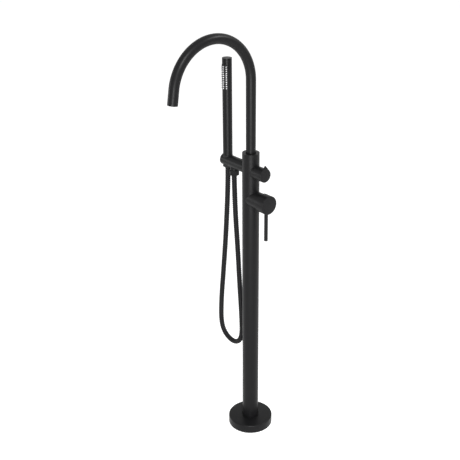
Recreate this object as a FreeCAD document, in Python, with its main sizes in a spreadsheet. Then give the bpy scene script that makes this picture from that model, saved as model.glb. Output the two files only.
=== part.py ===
import FreeCAD, Part
import os
import re
import Sketcher
from math import cos, pi, radians, sin, tan

# Floor standing bath filler: a column on a round floor base, a swivelling swan-neck
# spout, a lever mixer and a diverter on the +X side, and on the -X side a holder bar
# with a stick hand shower that lifts out and the hose that feeds it.
# The origin is on the column's axis at the floor. +Z is up, the spout reaches to -Y.

Vector = FreeCAD.Vector

SIZES = {
    # floor base
    "base_diameter": 124.6,
    "base_height": 24.2,
    "base_wall": 2.5,
    "base_edge": 1.5,
    "base_gap": 0.9,
    "flange_gap": 3.8,
    "flange_thickness": 8.0,
    "collar_diameter": 58.0,
    "collar_height": 18.5,
    "bolt_margin": 10.0,
    "bolt_hole": 7.0,
    "bolt_count": 4,
    "floor_opening": 36.0,
    "foot_height": 4.0,
    "clamp_screw_diameter": 6.0,
    "clamp_screw_count": 3,
    # fits
    "fit_gap": 0.05,
    "running_gap": 0.1,
    "seat_gap": 0.3,
    "seam_gap": 0.4,
    # column
    "column_diameter": 45.0,
    "column_wall": 1.5,
    "column_rise": 45.3,
    "column_edge": 0.4,
    "top_ring_thickness": 4.0,
    "spout_clearance": 0.9,
    # valve body inside the column
    "body_drop": 28.5,
    "body_waist_inset": 5.5,
    "water_duct_diameter": 9.0,
    "water_duct_offset": 3.0,
    # water inlets
    "inlet_diameter": 12.0,
    "inlet_bore": 9.0,
    "inlet_thread_bore": 10.0,
    "inlet_thread_length": 14.0,
    "inlet_inset": 2.5,
    "inlet_end": 12.0,
    "inlet_socket": 10.0,
    "inlet_nut_flats": 17.0,
    "inlet_nut_length": 14.0,
    # spout
    "spout_diameter": 25.4,
    "spout_wall": 1.5,
    "spout_arc_height": 1020.4,
    "spout_radius": 117.2,
    "spout_arc_angle": 171.4,
    "spout_outlet_length": 36.2,
    "swivel_bush_length": 14.0,
    "swivel_bush_wall": 2.5,
    "stub_collar_thickness": 4.0,
    "stub_spigot_length": 12.0,
    "stub_spigot_diameter": 24.8,
    "stub_plug_length": 12.0,
    "o_ring_section": 1.8,
    "aerator_length": 12.0,
    "aerator_recess": 1.0,
    "aerator_wall": 1.5,
    "aerator_hole": 1.8,
    # diverter
    "diverter_drop": 2.4,
    "diverter_diameter": 35.3,
    "diverter_front": 56.7,
    "diverter_seam": 28.0,
    "diverter_wall": 1.3,
    "diverter_web": 1.5,
    "diverter_face": 3.2,
    "diverter_edge": 0.5,
    "pointer_height": 26.8,
    "pointer_tip": 1.4,
    "pointer_thickness": 2.6,
    "diverter_thread_diameter": 20.6,
    "diverter_back": 3.0,
    "diverter_seat": 17.0,
    "diverter_flange_diameter": 26.8,
    "diverter_flange_thickness": 4.5,
    "diverter_neck_diameter": 16.4,
    "diverter_neck_front": 33.0,
    "diverter_spindle_diameter": 9.0,
    "diverter_spline_diameter": 8.0,
    "diverter_spindle_back": 14.5,
    "diverter_hub_back": 36.0,
    "diverter_hub_diameter": 16.0,
    "diverter_hub_end": 2.5,
    "knob_screw_diameter": 4.0,
    # mixer
    "mixer_drop": 76.2,
    "mixer_pivot": 46.0,
    "mixer_reach": 26.1,
    "mixer_overhang": 2.5,
    "mixer_skirt_wall": 1.0,
    "mixer_skirt_depth": 11.2,
    "mixer_face": 4.5,
    "mixer_edge": 0.5,
    "mixer_rim_wall": 3.0,
    "mixer_hub_diameter": 21.0,
    "sleeve_inset": 0.1,
    "sleeve_wall": 1.1,
    "sleeve_nose": 5.8,
    "housing_inset": 3.3,
    "housing_wall": 1.6,
    "housing_back": 5.0,
    "housing_floor": 3.0,
    "housing_front": 38.0,
    "cartridge_neck_diameter": 27.0,
    "cartridge_front": 42.0,
    "cartridge_bore_depth": 8.0,
    "cartridge_nut_back": 30.0,
    "cartridge_nut_front": 40.5,
    "carrier_diameter": 19.0,
    "carrier_back": 36.0,
    "carrier_reach": 4.0,
    "carrier_web": 2.0,
    "carrier_slot_height": 13.0,
    "stem_width": 8.0,
    "stem_tail": 5.4,
    "stem_depth": 8.5,
    "tilt_pin_diameter": 3.0,
    "tilt_pin_length": 17.4,
    "lever_diameter": 10.0,
    "lever_offset": 14.3,
    "lever_length": 78.4,
    "lever_recess": 0.6,
    "lever_edge": 0.8,
    "lever_stud_diameter": 5.0,
    "lever_stud_length": 16.0,
    "handle_screw_diameter": 5.0,
    # holder bar
    "bar_height": 787.1,
    "bar_diameter": 31.4,
    "bar_end_margin": 14.3,
    "bar_edge": 1.2,
    "bar_duct_diameter": 10.0,
    "stud_diameter": 14.0,
    "stud_start": 10.0,
    "stud_end": 32.0,
    "stud_clearance": 0.6,
    "outlet_spacing": 25.8,
    "outlet_collar_diameter": 23.0,
    "outlet_collar_start": 9.5,
    "outlet_collar_end": 19.4,
    "outlet_port_diameter": 14.0,
    "outlet_port_depth": 6.5,
    "outlet_bore": 9.0,
    "hose_nut_flats": 24.0,
    "hose_nut_length": 15.0,
    "hose_nut_bottom": 34.6,
    "hose_nut_edge": 1.2,
    "thread_diameter": 20.6,
    "hose_tail_length": 5.0,
    "hose_tail_flange": 2.0,
    "hose_tail_flange_diameter": 19.8,
    "washer_thickness": 2.0,
    "washer_bore": 10.0,
    "socket_diameter": 26.1,
    "socket_bore": 24.7,
    "socket_drop": 1.6,
    # hand shower
    "handset_position": 92.3,
    "handset_diameter": 25.2,
    "handset_wall": 1.5,
    "handset_length": 256.6,
    "handset_edge": 1.2,
    "handset_top_edge": 0.5,
    "handset_cap_thickness": 4.0,
    "cone_nut_diameter": 24.0,
    "cone_nut_drop": 20.6,
    "cone_nut_taper_length": 5.0,
    "cone_nut_tip_diameter": 17.0,
    "nipple_plug_length": 20.0,
    "nipple_bore": 10.0,
    "spray_drop": 16.25,
    "spray_turn_angle": 7.0,
    "spray_length": 63.5,
    "spray_angle": 106.0,
    "spray_thickness": 2.2,
    "spray_rise": 0.7,
    "spray_mat_thickness": 1.4,
    "nozzle_rows": 11,
    "nozzle_margin": 3.5,
    "nozzle_pitch": 5.55,
    "nozzle_column_angle": 36.0,
    "nozzle_base_diameter": 4.0,
    "nozzle_tip_diameter": 3.0,
    "nozzle_reach": 15.6,
    # hose
    "hose_diameter": 14.4,
    "hose_lead_drop": 52.1,
}

# Sizes that follow from others: the column's head keeps to the bar, the mixer's round
# pieces to the column, the hand shower to its seat and the floor plate to its cover.
FOLLOWING = {
    "flange_diameter": "base_diameter - 2 * (base_wall + flange_gap)",
    "bolt_circle": "flange_diameter - 2 * bolt_margin",
    "column_top": "bar_height + column_rise",
    "diverter_height": "bar_height - diverter_drop",
    "mixer_height": "diverter_height - mixer_drop",
    "body_bottom": "mixer_height - body_drop",
    "body_waist_diameter": "column_diameter - 2 * body_waist_inset",
    "inlet_spacing": "column_diameter / 2 - inlet_inset",
    "diverter_hub_depth": "diverter_front - diverter_face - diverter_hub_back - diverter_hub_end",
    "housing_diameter": "column_diameter - 2 * housing_inset",
    "cartridge_diameter": "housing_diameter - 2 * (housing_wall + running_gap)",
    "sleeve_diameter": "column_diameter - 2 * sleeve_inset",
    "mixer_diameter": "sleeve_diameter + 2 * mixer_overhang",
    "mixer_front": "mixer_pivot + mixer_reach",
    "carrier_front": "mixer_pivot + carrier_reach",
    "lever_position": "mixer_pivot + lever_offset",
    "lever_bottom": "mixer_height - mixer_diameter / 2 + lever_recess - lever_length",
    "bar_end": "handset_position + bar_end_margin",
    "outlet_position": "handset_position - outlet_spacing",
    "handset_seat": "bar_height + bar_diameter / 2 + (handset_diameter - socket_bore) / 2",
    "handset_bottom": "handset_seat + seat_gap - handset_edge",
    "handset_top": "handset_bottom + handset_length",
    "spray_bottom": "handset_top - spray_drop - spray_length",
    "nozzle_first": "spray_bottom + nozzle_margin",
}

doc = FreeCAD.newDocument("bath_filler")
sheet = doc.addObject("Spreadsheet::Sheet", "dim")
aliases = [*SIZES, *FOLLOWING]
for row, alias in enumerate(aliases, start=1):
    sheet.set(f"A{row}", alias)
    sheet.set(f"B{row}", str(SIZES[alias]) if alias in SIZES else "=" + FOLLOWING[alias])
    sheet.setAlias(f"B{row}", alias)
doc.recompute()

NODES = []


def bound(text):
    """An expression with each size name written as its cell in the sheet."""
    return re.sub(r"[a-z_]{3,}", lambda found: "dim." + found[0] if found[0] in aliases else found[0], text)


def value(text):
    """The number that an expression comes to."""
    return float(sheet.evalExpression(bound(text)))


def bind(item, target, text):
    """Bind one property of an object to an expression of the sheet."""
    item.setExpression(target, bound(text))
    return item


def place(item, x="0", y="0", z="0", axis=(0, 0, 1), angle=0):
    """Turn an object about an axis through its own origin and move it to a bound place."""
    item.Placement = FreeCAD.Placement(
        Vector(value(x), value(y), value(z)), FreeCAD.Rotation(Vector(*axis), angle)
    )
    bind(item, "Placement.Base.x", x)
    bind(item, "Placement.Base.y", y)
    bind(item, "Placement.Base.z", z)
    return item


def keep(item, label):
    """Name a finished sub-part: the label is also its file name."""
    item.Label = label
    NODES.append(item)
    return item


# Directions of drilled holes and rods: the turn that brings +Z to each.
TURN = {
    "+Z": ((0, 0, 1), 0),
    "-Z": ((1, 0, 0), 180),
    "+X": ((0, 1, 0), 90),
    "-X": ((0, 1, 0), -90),
    "+Y": ((1, 0, 0), -90),
    "-Y": ((1, 0, 0), 90),
}


def rod(name, radius, length, x="0", y="0", z="0", toward="+Z"):
    """A plain cylinder that starts at a point and runs toward one direction."""
    item = doc.addObject("Part::Cylinder", name)
    bind(item, "Radius", radius)
    bind(item, "Height", length)
    axis, angle = TURN[toward]
    return place(item, x, y, z, axis, angle)


def hexagon(name, flats, length, x="0", y="0", z="0", axis=(0, 0, 1), angle=0):
    """A hexagonal prism given by its width across flats."""
    item = doc.addObject("Part::Prism", name)
    item.Polygon = 6
    bind(item, "Circumradius", f"({flats}) / 2 / cos(30)")
    bind(item, "Height", length)
    return place(item, x, y, z, axis, angle)


def cut(name, item, tools):
    """The item with every tool taken out of it."""
    for number, tool in enumerate(tools):
        step = doc.addObject("Part::Cut", f"{name}_cut_{number}")
        step.Base = item
        step.Tool = tool
        item = step
    return item


def group(name, items):
    """Separate solids that share one node."""
    item = doc.addObject("Part::Compound", name)
    item.Links = items
    return item


def plane(body, role):
    """One of a body's own origin planes."""
    return next(feature for feature in body.Origin.OriginFeatures if feature.Role == role)


def sketch_on(body, name, role):
    """An empty sketch on one of the body's own origin planes."""
    sketch = body.newObject("Sketcher::SketchObject", name)
    sketch.AttachmentSupport = [(plane(body, role), "")]
    sketch.MapMode = "FlatFace"
    return sketch


def pin_point(sketch, edge, end, point):
    """Hold one end of an edge at bound coordinates."""
    for kind, text in (("DistanceX", point[0]), ("DistanceY", point[1])):
        number = sketch.addConstraint(Sketcher.Constraint(kind, -1, 1, edge, end, value(text)))
        bind(sketch, f"Constraints[{number}]", text)


def pin_radius(sketch, edge, text):
    """Hold the radius of a circle or an arc at a bound value."""
    number = sketch.addConstraint(Sketcher.Constraint("Radius", edge, value(text)))
    bind(sketch, f"Constraints[{number}]", text)


def draw_outline(sketch, points):
    """A closed outline of straight edges through bound points."""
    spots = [Vector(value(x), value(y), 0) for x, y in points]
    for number, spot in enumerate(spots):
        sketch.addGeometry(Part.LineSegment(spot, spots[(number + 1) % len(spots)]), False)
    for number in range(len(spots)):
        sketch.addConstraint(Sketcher.Constraint("Coincident", number, 2, (number + 1) % len(spots), 1))
    for number, point in enumerate(points):
        pin_point(sketch, number, 1, point)


def draw_circle(sketch, radius, x="0", y="0"):
    """A circle with a bound centre and radius."""
    number = sketch.addGeometry(Part.Circle(Vector(value(x), value(y), 0), Vector(0, 0, 1), value(radius)))
    pin_point(sketch, number, 3, (x, y))
    pin_radius(sketch, number, radius)


def turned_body(name, points, axis="V_Axis"):
    """A body turned on a lathe: its outline revolved about the sketch's own axis."""
    body = doc.addObject("PartDesign::Body", name)
    sketch = sketch_on(body, name + "_outline", "XZ_Plane")
    draw_outline(sketch, points)
    turning = body.newObject("PartDesign::Revolution", name + "_turning")
    turning.Profile = sketch
    turning.ReferenceAxis = (sketch, [axis])
    turning.Angle = 360
    return body


def tube_points(inner, outer, low, high, edge="0.2"):
    """The outline of a plain ring or tube along the vertical axis, its outer rims broken."""
    return [
        (inner, low),
        (f"{outer} - {edge}", low),
        (outer, f"{low} + {edge}"),
        (outer, f"{high} - {edge}"),
        (f"{outer} - {edge}", high),
        (inner, high),
    ]


# Radii and levels that several pieces share.
COLUMN_RADIUS = "(column_diameter / 2)"
COLUMN_INNER = "(column_diameter / 2 - column_wall)"
BODY_RADIUS = "(column_diameter / 2 - column_wall - fit_gap)"
BODY_TOP = "(column_top - top_ring_thickness)"
SPOUT_RADIUS = "(spout_diameter / 2)"
SPOUT_INNER = "(spout_diameter / 2 - spout_wall)"
COLLAR_TOP = "(column_top - top_ring_thickness - swivel_bush_length)"
COLLAR_BOTTOM = f"({COLLAR_TOP} - stub_collar_thickness)"
SPIGOT_BOTTOM = f"({COLLAR_BOTTOM} - stub_spigot_length)"
SPOUT_SOCKET_RADIUS = f"({SPOUT_RADIUS} + swivel_bush_wall + fit_gap)"
INLET_SIDES = (("hot", "-inlet_spacing / 2"), ("cold", "inlet_spacing / 2"))


def column_core(name):
    """The solid cylinder of the column's outside, which trims the pieces that meet it."""
    return rod(name, COLUMN_RADIUS, "column_top")


# ---------------------------------------------------------------- floor base


def make_base_cover():
    """A shallow round cap over the floor flange, open below, with a hole for the column."""
    rim = "(base_diameter / 2)"
    hole = f"({COLUMN_RADIUS} + base_gap)"
    cover = turned_body("base_cover_body", [
        (rim, "0"),
        (rim, "base_height - base_edge"),
        (f"{rim} - base_edge", "base_height"),
        (hole, "base_height"),
        (hole, "base_height - base_wall"),
        (f"{rim} - base_wall", "base_height - base_wall"),
        (f"{rim} - base_wall", "0"),
    ])
    keep(cover, "base_cover")


def make_floor_flange():
    """The floor plate with four bolt holes and the collar that grips the column's foot."""
    bore = f"({COLUMN_RADIUS} + fit_gap)"
    flange = turned_body("floor_flange_body", [
        ("floor_opening / 2", "0"),
        ("flange_diameter / 2", "0"),
        ("flange_diameter / 2", "flange_thickness"),
        ("collar_diameter / 2", "flange_thickness"),
        ("collar_diameter / 2", "collar_height"),
        (bore, "collar_height"),
        (bore, "foot_height"),
        ("floor_opening / 2", "foot_height"),
    ])
    doc.recompute()
    hole_sketch = sketch_on(flange, "bolt_hole_sketch", "XY_Plane")
    draw_circle(hole_sketch, "bolt_hole / 2", "bolt_circle / 2")
    hole = flange.newObject("PartDesign::Pocket", "bolt_hole_pocket")
    hole.Profile = hole_sketch
    hole.Type = "ThroughAll"
    hole.Midplane = True
    pattern = flange.newObject("PartDesign::PolarPattern", "bolt_hole_pattern")
    pattern.Originals = [hole]
    pattern.Axis = (hole_sketch, ["N_Axis"])
    pattern.Angle = 360
    bind(pattern, "Occurrences", "bolt_count")
    flange.Tip = pattern
    holes = [
        clamp_screw_rod(number, "clamp_hole", "clamp_screw_diameter / 2", COLUMN_RADIUS, "collar_diameter / 2 + 1")
        for number in range(int(value("clamp_screw_count")))
    ]
    keep(cut("floor_flange", flange, holes), "floor_flange")


def clamp_screw_rod(number, name, radius, start, end):
    """A radial rod through the collar, at one of the clamp screws' places."""
    item = doc.addObject("Part::Cylinder", f"{name}_{number}")
    bind(item, "Radius", radius)
    bind(item, "Height", f"{end} - ({start})")
    turn = 45 + 360 / value("clamp_screw_count") * number
    outward = Vector(cos(radians(turn)), sin(radians(turn)), 0)
    height = value("(flange_thickness + collar_height) / 2")
    spot = outward * value(start) + Vector(0, 0, height)
    item.Placement = FreeCAD.Placement(spot, FreeCAD.Rotation(Vector(0, 0, 1), outward))
    return item


def make_clamp_screws():
    """Socket set screws that clamp the column's foot in the collar."""
    screws = []
    for number in range(int(value("clamp_screw_count"))):
        blank = clamp_screw_rod(
            number, "clamp_screw", "clamp_screw_diameter / 2 - fit_gap",
            f"{COLUMN_RADIUS} + fit_gap", "collar_diameter / 2 - 1",
        )
        socket = doc.addObject("Part::Prism", f"clamp_screw_socket_{number}")
        socket.Polygon = 6
        bind(socket, "Circumradius", "clamp_screw_diameter / 4 / cos(30)")
        bind(socket, "Height", "clamp_screw_diameter / 2")
        depth = value("collar_diameter / 2 - 1 - clamp_screw_diameter / 2")
        outward = blank.Placement.Rotation.multVec(Vector(0, 0, 1))
        level = Vector(0, 0, blank.Placement.Base.z)
        socket.Placement = FreeCAD.Placement(outward * depth + level, blank.Placement.Rotation)
        screws.append(cut(f"clamp_screw_{number}", blank, [socket]))
    keep(group("clamp_screws_group", screws), "column_clamp_screws")


# ---------------------------------------------------------------- column


def make_column_tube():
    """The column, with the holes for the mixer, the diverter and the holder's stud."""
    tube = turned_body("column_tube_body", [
        (COLUMN_INNER, "foot_height"),
        (COLUMN_RADIUS, "foot_height"),
        (COLUMN_RADIUS, "column_top - column_edge"),
        (f"{COLUMN_RADIUS} - column_edge", "column_top"),
        (COLUMN_INNER, "column_top"),
    ])
    mixer_hole = rod(
        "column_mixer_hole", "housing_diameter / 2 + seat_gap", "column_diameter", z="mixer_height", toward="+X"
    )
    diverter_hole = rod(
        "column_diverter_hole", "diverter_flange_diameter / 2 + seat_gap", "column_diameter",
        z="diverter_height", toward="+X",
    )
    stud_hole = rod(
        "column_stud_hole", "stud_diameter / 2 + stud_clearance", "column_diameter", z="bar_height", toward="-X"
    )
    keep(cut("column_tube", tube, [mixer_hole, diverter_hole, stud_hole]), "column_tube")


def make_column_top_ring():
    """The ring that closes the column's mouth round the spout and holds the spout down."""
    ring = turned_body("column_top_ring_body", tube_points(
        f"({SPOUT_RADIUS} + spout_clearance)", f"({COLUMN_INNER} - fit_gap)", BODY_TOP, "column_top"
    ))
    keep(ring, "column_top_ring")


# ---------------------------------------------------------------- valve body


def make_valve_body():
    """The casting in the column's head that joins inlets, mixer, diverter, spout and bar."""
    waist_low = "(mixer_height + housing_diameter / 2 + seat_gap)"
    waist_high = "(diverter_height - diverter_flange_diameter / 2 - seat_gap)"
    slope = f"({BODY_RADIUS} - body_waist_diameter / 2)"
    spigot_bore = "(stub_spigot_diameter / 2 + running_gap)"
    floor = f"({SPIGOT_BOTTOM} - seat_gap)"
    casting = turned_body("valve_body_body", [
        ("0", "body_bottom"),
        (BODY_RADIUS, "body_bottom"),
        (BODY_RADIUS, waist_low),
        ("body_waist_diameter / 2", f"{waist_low} + {slope}"),
        ("body_waist_diameter / 2", f"{waist_high} - {slope}"),
        (BODY_RADIUS, waist_high),
        (BODY_RADIUS, BODY_TOP),
        (SPOUT_SOCKET_RADIUS, BODY_TOP),
        (SPOUT_SOCKET_RADIUS, f"{COLLAR_BOTTOM} - seat_gap"),
        (spigot_bore, f"{COLLAR_BOTTOM} - seat_gap"),
        (spigot_bore, floor),
        ("0", floor),
    ])
    duct = "water_duct_diameter / 2"
    port_top = "(diverter_height + diverter_thread_diameter / 3)"
    tools = [
        rod("body_mixer_port", "housing_diameter / 2 + fit_gap", "column_diameter",
            x="housing_back", z="mixer_height", toward="+X"),
        rod("body_diverter_port", "diverter_thread_diameter / 2 + fit_gap", "column_diameter",
            x="diverter_back", z="diverter_height", toward="+X"),
        rod("body_diverter_face", "diverter_flange_diameter / 2 + fit_gap", "column_diameter",
            x="diverter_seat", z="diverter_height", toward="+X"),
        rod("body_stud_port", "stud_diameter / 2 + fit_gap", "column_diameter",
            x="-stud_start", z="bar_height", toward="-X"),
        rod("body_cross_duct", "bar_duct_diameter / 2", "stud_start + diverter_back + 2",
            x="diverter_back + 1", z="bar_height", toward="-X"),
        rod("body_spout_duct", duct, f"{floor} - {port_top} + 1", x="water_duct_offset", z=port_top),
        rod("body_mixed_duct", duct, "diverter_height - diverter_thread_diameter / 2 - mixer_height",
            x="water_duct_offset", z="mixer_height + housing_diameter / 4"),
    ]
    for side, spot in INLET_SIDES:
        tools.append(rod(f"body_{side}_socket", "inlet_diameter / 2 + fit_gap", "inlet_socket",
                         x="water_duct_offset", y=spot, z="body_bottom"))
        tools.append(rod(f"body_{side}_duct", "inlet_bore / 2", "mixer_height - body_bottom",
                         x="water_duct_offset", y=spot, z="body_bottom"))
    keep(cut("valve_body", casting, tools), "valve_body")


def make_inlets():
    """The hot and cold supply tubes inside the column, each with its union nut on top."""
    nuts = []
    for side, spot in INLET_SIDES:
        top = "(body_bottom + inlet_socket - fit_gap)"
        tube = turned_body(f"{side}_inlet_body", [
            ("inlet_thread_bore / 2", "inlet_end"),
            ("inlet_diameter / 2", "inlet_end"),
            ("inlet_diameter / 2", top),
            ("inlet_bore / 2", top),
            ("inlet_bore / 2", "inlet_end + inlet_thread_length"),
            ("inlet_thread_bore / 2", "inlet_end + inlet_thread_length"),
        ])
        keep(place(tube, x="water_duct_offset", y=spot), f"{side}_inlet_tube")
        nut = hexagon(f"{side}_nut_blank", "inlet_nut_flats", "inlet_nut_length",
                      x="water_duct_offset", y=spot, z="body_bottom - inlet_nut_length")
        bore = rod(f"{side}_nut_bore", "inlet_diameter / 2 + fit_gap", "inlet_nut_length + 2",
                   x="water_duct_offset", y=spot, z="body_bottom - inlet_nut_length - 1")
        nuts.append(cut(f"{side}_nut", nut, [bore]))
    keep(group("inlet_nuts_group", nuts), "inlet_union_nuts")


# ---------------------------------------------------------------- spout

ARC_Y = "(-spout_radius * (1 - cos(spout_arc_angle)))"
ARC_Z = "(spout_arc_height + spout_radius * sin(spout_arc_angle))"
OUTLET_Y = f"({ARC_Y} - spout_outlet_length * sin(spout_arc_angle))"
OUTLET_Z = f"({ARC_Z} + spout_outlet_length * cos(spout_arc_angle))"


def make_spout_tube():
    """The swan neck: one bent tube, straight in the column, a wide arc, a short outlet."""
    body = doc.addObject("PartDesign::Body", "spout_tube_body")
    route = sketch_on(body, "spout_route", "YZ_Plane")
    start = ("0", COLLAR_TOP)
    bend = ("0", "spout_arc_height")
    centre = ("-spout_radius", "spout_arc_height")
    turn_end = (ARC_Y, ARC_Z)
    mouth = (OUTLET_Y, OUTLET_Z)
    spots = {point: Vector(value(point[0]), value(point[1]), 0) for point in (start, bend, centre, turn_end, mouth)}
    circle = Part.Circle(spots[centre], Vector(0, 0, 1), value("spout_radius"))
    route.addGeometry(Part.LineSegment(spots[start], spots[bend]))
    route.addGeometry(Part.ArcOfCircle(circle, 0, radians(value("spout_arc_angle"))))
    route.addGeometry(Part.LineSegment(spots[turn_end], spots[mouth]))
    route.addConstraint(Sketcher.Constraint("Coincident", 0, 2, 1, 1))
    route.addConstraint(Sketcher.Constraint("Coincident", 1, 2, 2, 1))
    pin_point(route, 0, 1, start)
    pin_point(route, 0, 2, bend)
    pin_point(route, 1, 3, centre)
    pin_point(route, 2, 2, mouth)
    number = route.addConstraint(Sketcher.Constraint("DistanceX", -1, 1, 2, 1, value(ARC_Y)))
    bind(route, f"Constraints[{number}]", ARC_Y)
    section = sketch_on(body, "spout_section", "XY_Plane")
    section.AttachmentOffset = FreeCAD.Placement(Vector(0, 0, value(COLLAR_TOP)), FreeCAD.Rotation())
    bind(section, "AttachmentOffset.Base.z", COLLAR_TOP)
    draw_circle(section, SPOUT_RADIUS)
    draw_circle(section, SPOUT_INNER)
    pipe = body.newObject("PartDesign::AdditivePipe", "spout_pipe")
    pipe.Profile = section
    pipe.Spine = (route, [])
    keep(body, "spout_tube")


def make_spout_stub():
    """The turned foot of the spout: plug, retaining collar and grooved spigot."""
    spigot = "(stub_spigot_diameter / 2)"
    groove = f"({spigot} - o_ring_section)"
    wide = "o_ring_section * 1.3"
    outline = [
        ("water_duct_diameter / 2", SPIGOT_BOTTOM),
        (spigot, SPIGOT_BOTTOM),
    ]
    for number in (1, 2):
        level = f"({o_ring_level(number)} - {wide} / 2)"
        outline += [(spigot, level), (groove, level), (groove, f"{level} + {wide}"), (spigot, f"{level} + {wide}")]
    outline += [
        (spigot, COLLAR_BOTTOM),
        (f"{SPOUT_SOCKET_RADIUS} - running_gap", COLLAR_BOTTOM),
        (f"{SPOUT_SOCKET_RADIUS} - running_gap", COLLAR_TOP),
        (f"{SPOUT_INNER} - fit_gap", COLLAR_TOP),
        (f"{SPOUT_INNER} - fit_gap", f"{COLLAR_TOP} + stub_plug_length"),
        ("water_duct_diameter / 2", f"{COLLAR_TOP} + stub_plug_length"),
    ]
    keep(turned_body("spout_stub_body", outline), "spout_stub")


def o_ring_level(number):
    """The height of one of the spigot's two O-rings."""
    return f"({SPIGOT_BOTTOM} + stub_spigot_length * {number} / 3)"


def make_spout_o_rings():
    """The two O-rings that seal the spigot while the spout swivels."""
    rings = []
    for number in (1, 2):
        ring = doc.addObject("Part::Torus", f"spout_o_ring_{number}")
        bind(ring, "Radius1", "stub_spigot_diameter / 2 - o_ring_section / 2")
        bind(ring, "Radius2", "o_ring_section / 2")
        rings.append(place(ring, z=o_ring_level(number)))
    keep(group("spout_o_rings_group", rings), "spout_o_rings")


def make_spout_bush():
    """The plain bush in which the spout turns, between its collar and the top ring."""
    bush = turned_body("spout_bush_body", tube_points(
        f"({SPOUT_RADIUS} + running_gap)", f"({SPOUT_SOCKET_RADIUS} - fit_gap)",
        f"({COLLAR_TOP} + running_gap)", BODY_TOP,
    ))
    keep(bush, "spout_bush")


def at_outlet(item):
    """Set a piece that is drawn about +Z into the spout's mouth, +Z pointing out of it."""
    place(item, y=OUTLET_Y, z=OUTLET_Z, axis=(1, 0, 0), angle=value("spout_arc_angle"))
    return bind(item, "Placement.Rotation.Angle", "spout_arc_angle")


def make_aerator():
    """The aerator in the spout's mouth: a shell, and a jet disc with rings of holes."""
    wall = f"({SPOUT_INNER} - fit_gap)"
    bore = f"({wall} - aerator_wall)"
    low = "-(aerator_recess + aerator_length)"
    high = "-aerator_recess"
    shell = turned_body("aerator_shell_body", [
        (f"{bore} - 1", low),
        (wall, low),
        (wall, f"{high} - 0.4"),
        (f"{wall} - 0.4", high),
        (bore, high),
        (bore, f"{low} + 2"),
        (f"{bore} - 1", f"{low} + 2"),
    ])
    keep(at_outlet(shell), "aerator_shell")
    disc = doc.addObject("PartDesign::Body", "aerator_disc_body")
    rim_sketch = sketch_on(disc, "aerator_disc_sketch", "XY_Plane")
    rim_sketch.AttachmentOffset = FreeCAD.Placement(Vector(0, 0, value(f"{low} + 2")), FreeCAD.Rotation())
    bind(rim_sketch, "AttachmentOffset.Base.z", f"{low} + 2")
    draw_circle(rim_sketch, f"{bore} - fit_gap")
    pad = disc.newObject("PartDesign::Pad", "aerator_disc_pad")
    pad.Profile = rim_sketch
    bind(pad, "Length", "aerator_length - 4")
    doc.recompute()
    for ring, count in ((1, 6), (2, 12)):
        jet_sketch = sketch_on(disc, f"aerator_jet_sketch_{ring}", "XY_Plane")
        draw_circle(jet_sketch, "aerator_hole / 2", f"{bore} * {ring} * 0.4")
        jet = disc.newObject("PartDesign::Pocket", f"aerator_jet_{ring}")
        jet.Profile = jet_sketch
        jet.Type = "ThroughAll"
        jet.Midplane = True
        pattern = disc.newObject("PartDesign::PolarPattern", f"aerator_jets_{ring}")
        pattern.Originals = [jet]
        pattern.Axis = (jet_sketch, ["N_Axis"])
        pattern.Angle = 360
        pattern.Occurrences = count
        disc.Tip = pattern
    keep(at_outlet(disc), "aerator_jet_disc")


# ---------------------------------------------------------------- diverter


def make_diverter_sleeve():
    """The fixed collar of the diverter: back edge shaped to the column, a web at the front."""
    outer = "(diverter_diameter / 2)"
    inner = f"({outer} - diverter_wall)"
    neck = "(diverter_neck_diameter / 2 + fit_gap)"
    sleeve = turned_body("diverter_sleeve_body", [
        ("0", inner),
        ("0", outer),
        ("diverter_seam", outer),
        ("diverter_seam", neck),
        ("diverter_seam - diverter_web", neck),
        ("diverter_seam - diverter_web", inner),
    ], "H_Axis")
    place(sleeve, z="diverter_height")
    keep(cut("diverter_sleeve", sleeve, [column_core("diverter_sleeve_trim")]), "diverter_sleeve")


def make_diverter_cartridge():
    """The headwork screwed into the casting: thread, seat flange and spindle neck."""
    bore = "(diverter_spindle_diameter / 2 + running_gap)"
    flange_front = "(diverter_seat + diverter_flange_thickness)"
    cartridge = turned_body("diverter_cartridge_body", [
        ("diverter_back + fit_gap", "0"),
        ("diverter_back + fit_gap", "diverter_thread_diameter / 2"),
        ("diverter_seat", "diverter_thread_diameter / 2"),
        ("diverter_seat", "diverter_flange_diameter / 2"),
        (flange_front, "diverter_flange_diameter / 2"),
        (flange_front, "diverter_neck_diameter / 2"),
        ("diverter_neck_front", "diverter_neck_diameter / 2"),
        ("diverter_neck_front", bore),
        ("diverter_spindle_back - seat_gap", bore),
        ("diverter_spindle_back - seat_gap", "0"),
    ], "H_Axis")
    keep(place(cartridge, z="diverter_height"), "diverter_cartridge")


def make_diverter_spindle():
    """The spindle that carries the knob: a round shank and a splined front."""
    front = "(diverter_hub_back + diverter_hub_depth - seat_gap)"
    spindle = turned_body("diverter_spindle_body", [
        ("diverter_spindle_back", "0"),
        ("diverter_spindle_back", "diverter_spindle_diameter / 2"),
        ("diverter_hub_back - seat_gap", "diverter_spindle_diameter / 2"),
        ("diverter_hub_back - seat_gap", "diverter_spline_diameter / 2"),
        (front, "diverter_spline_diameter / 2"),
        (front, "0"),
    ], "H_Axis")
    keep(place(spindle, z="diverter_height"), "diverter_spindle")


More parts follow.
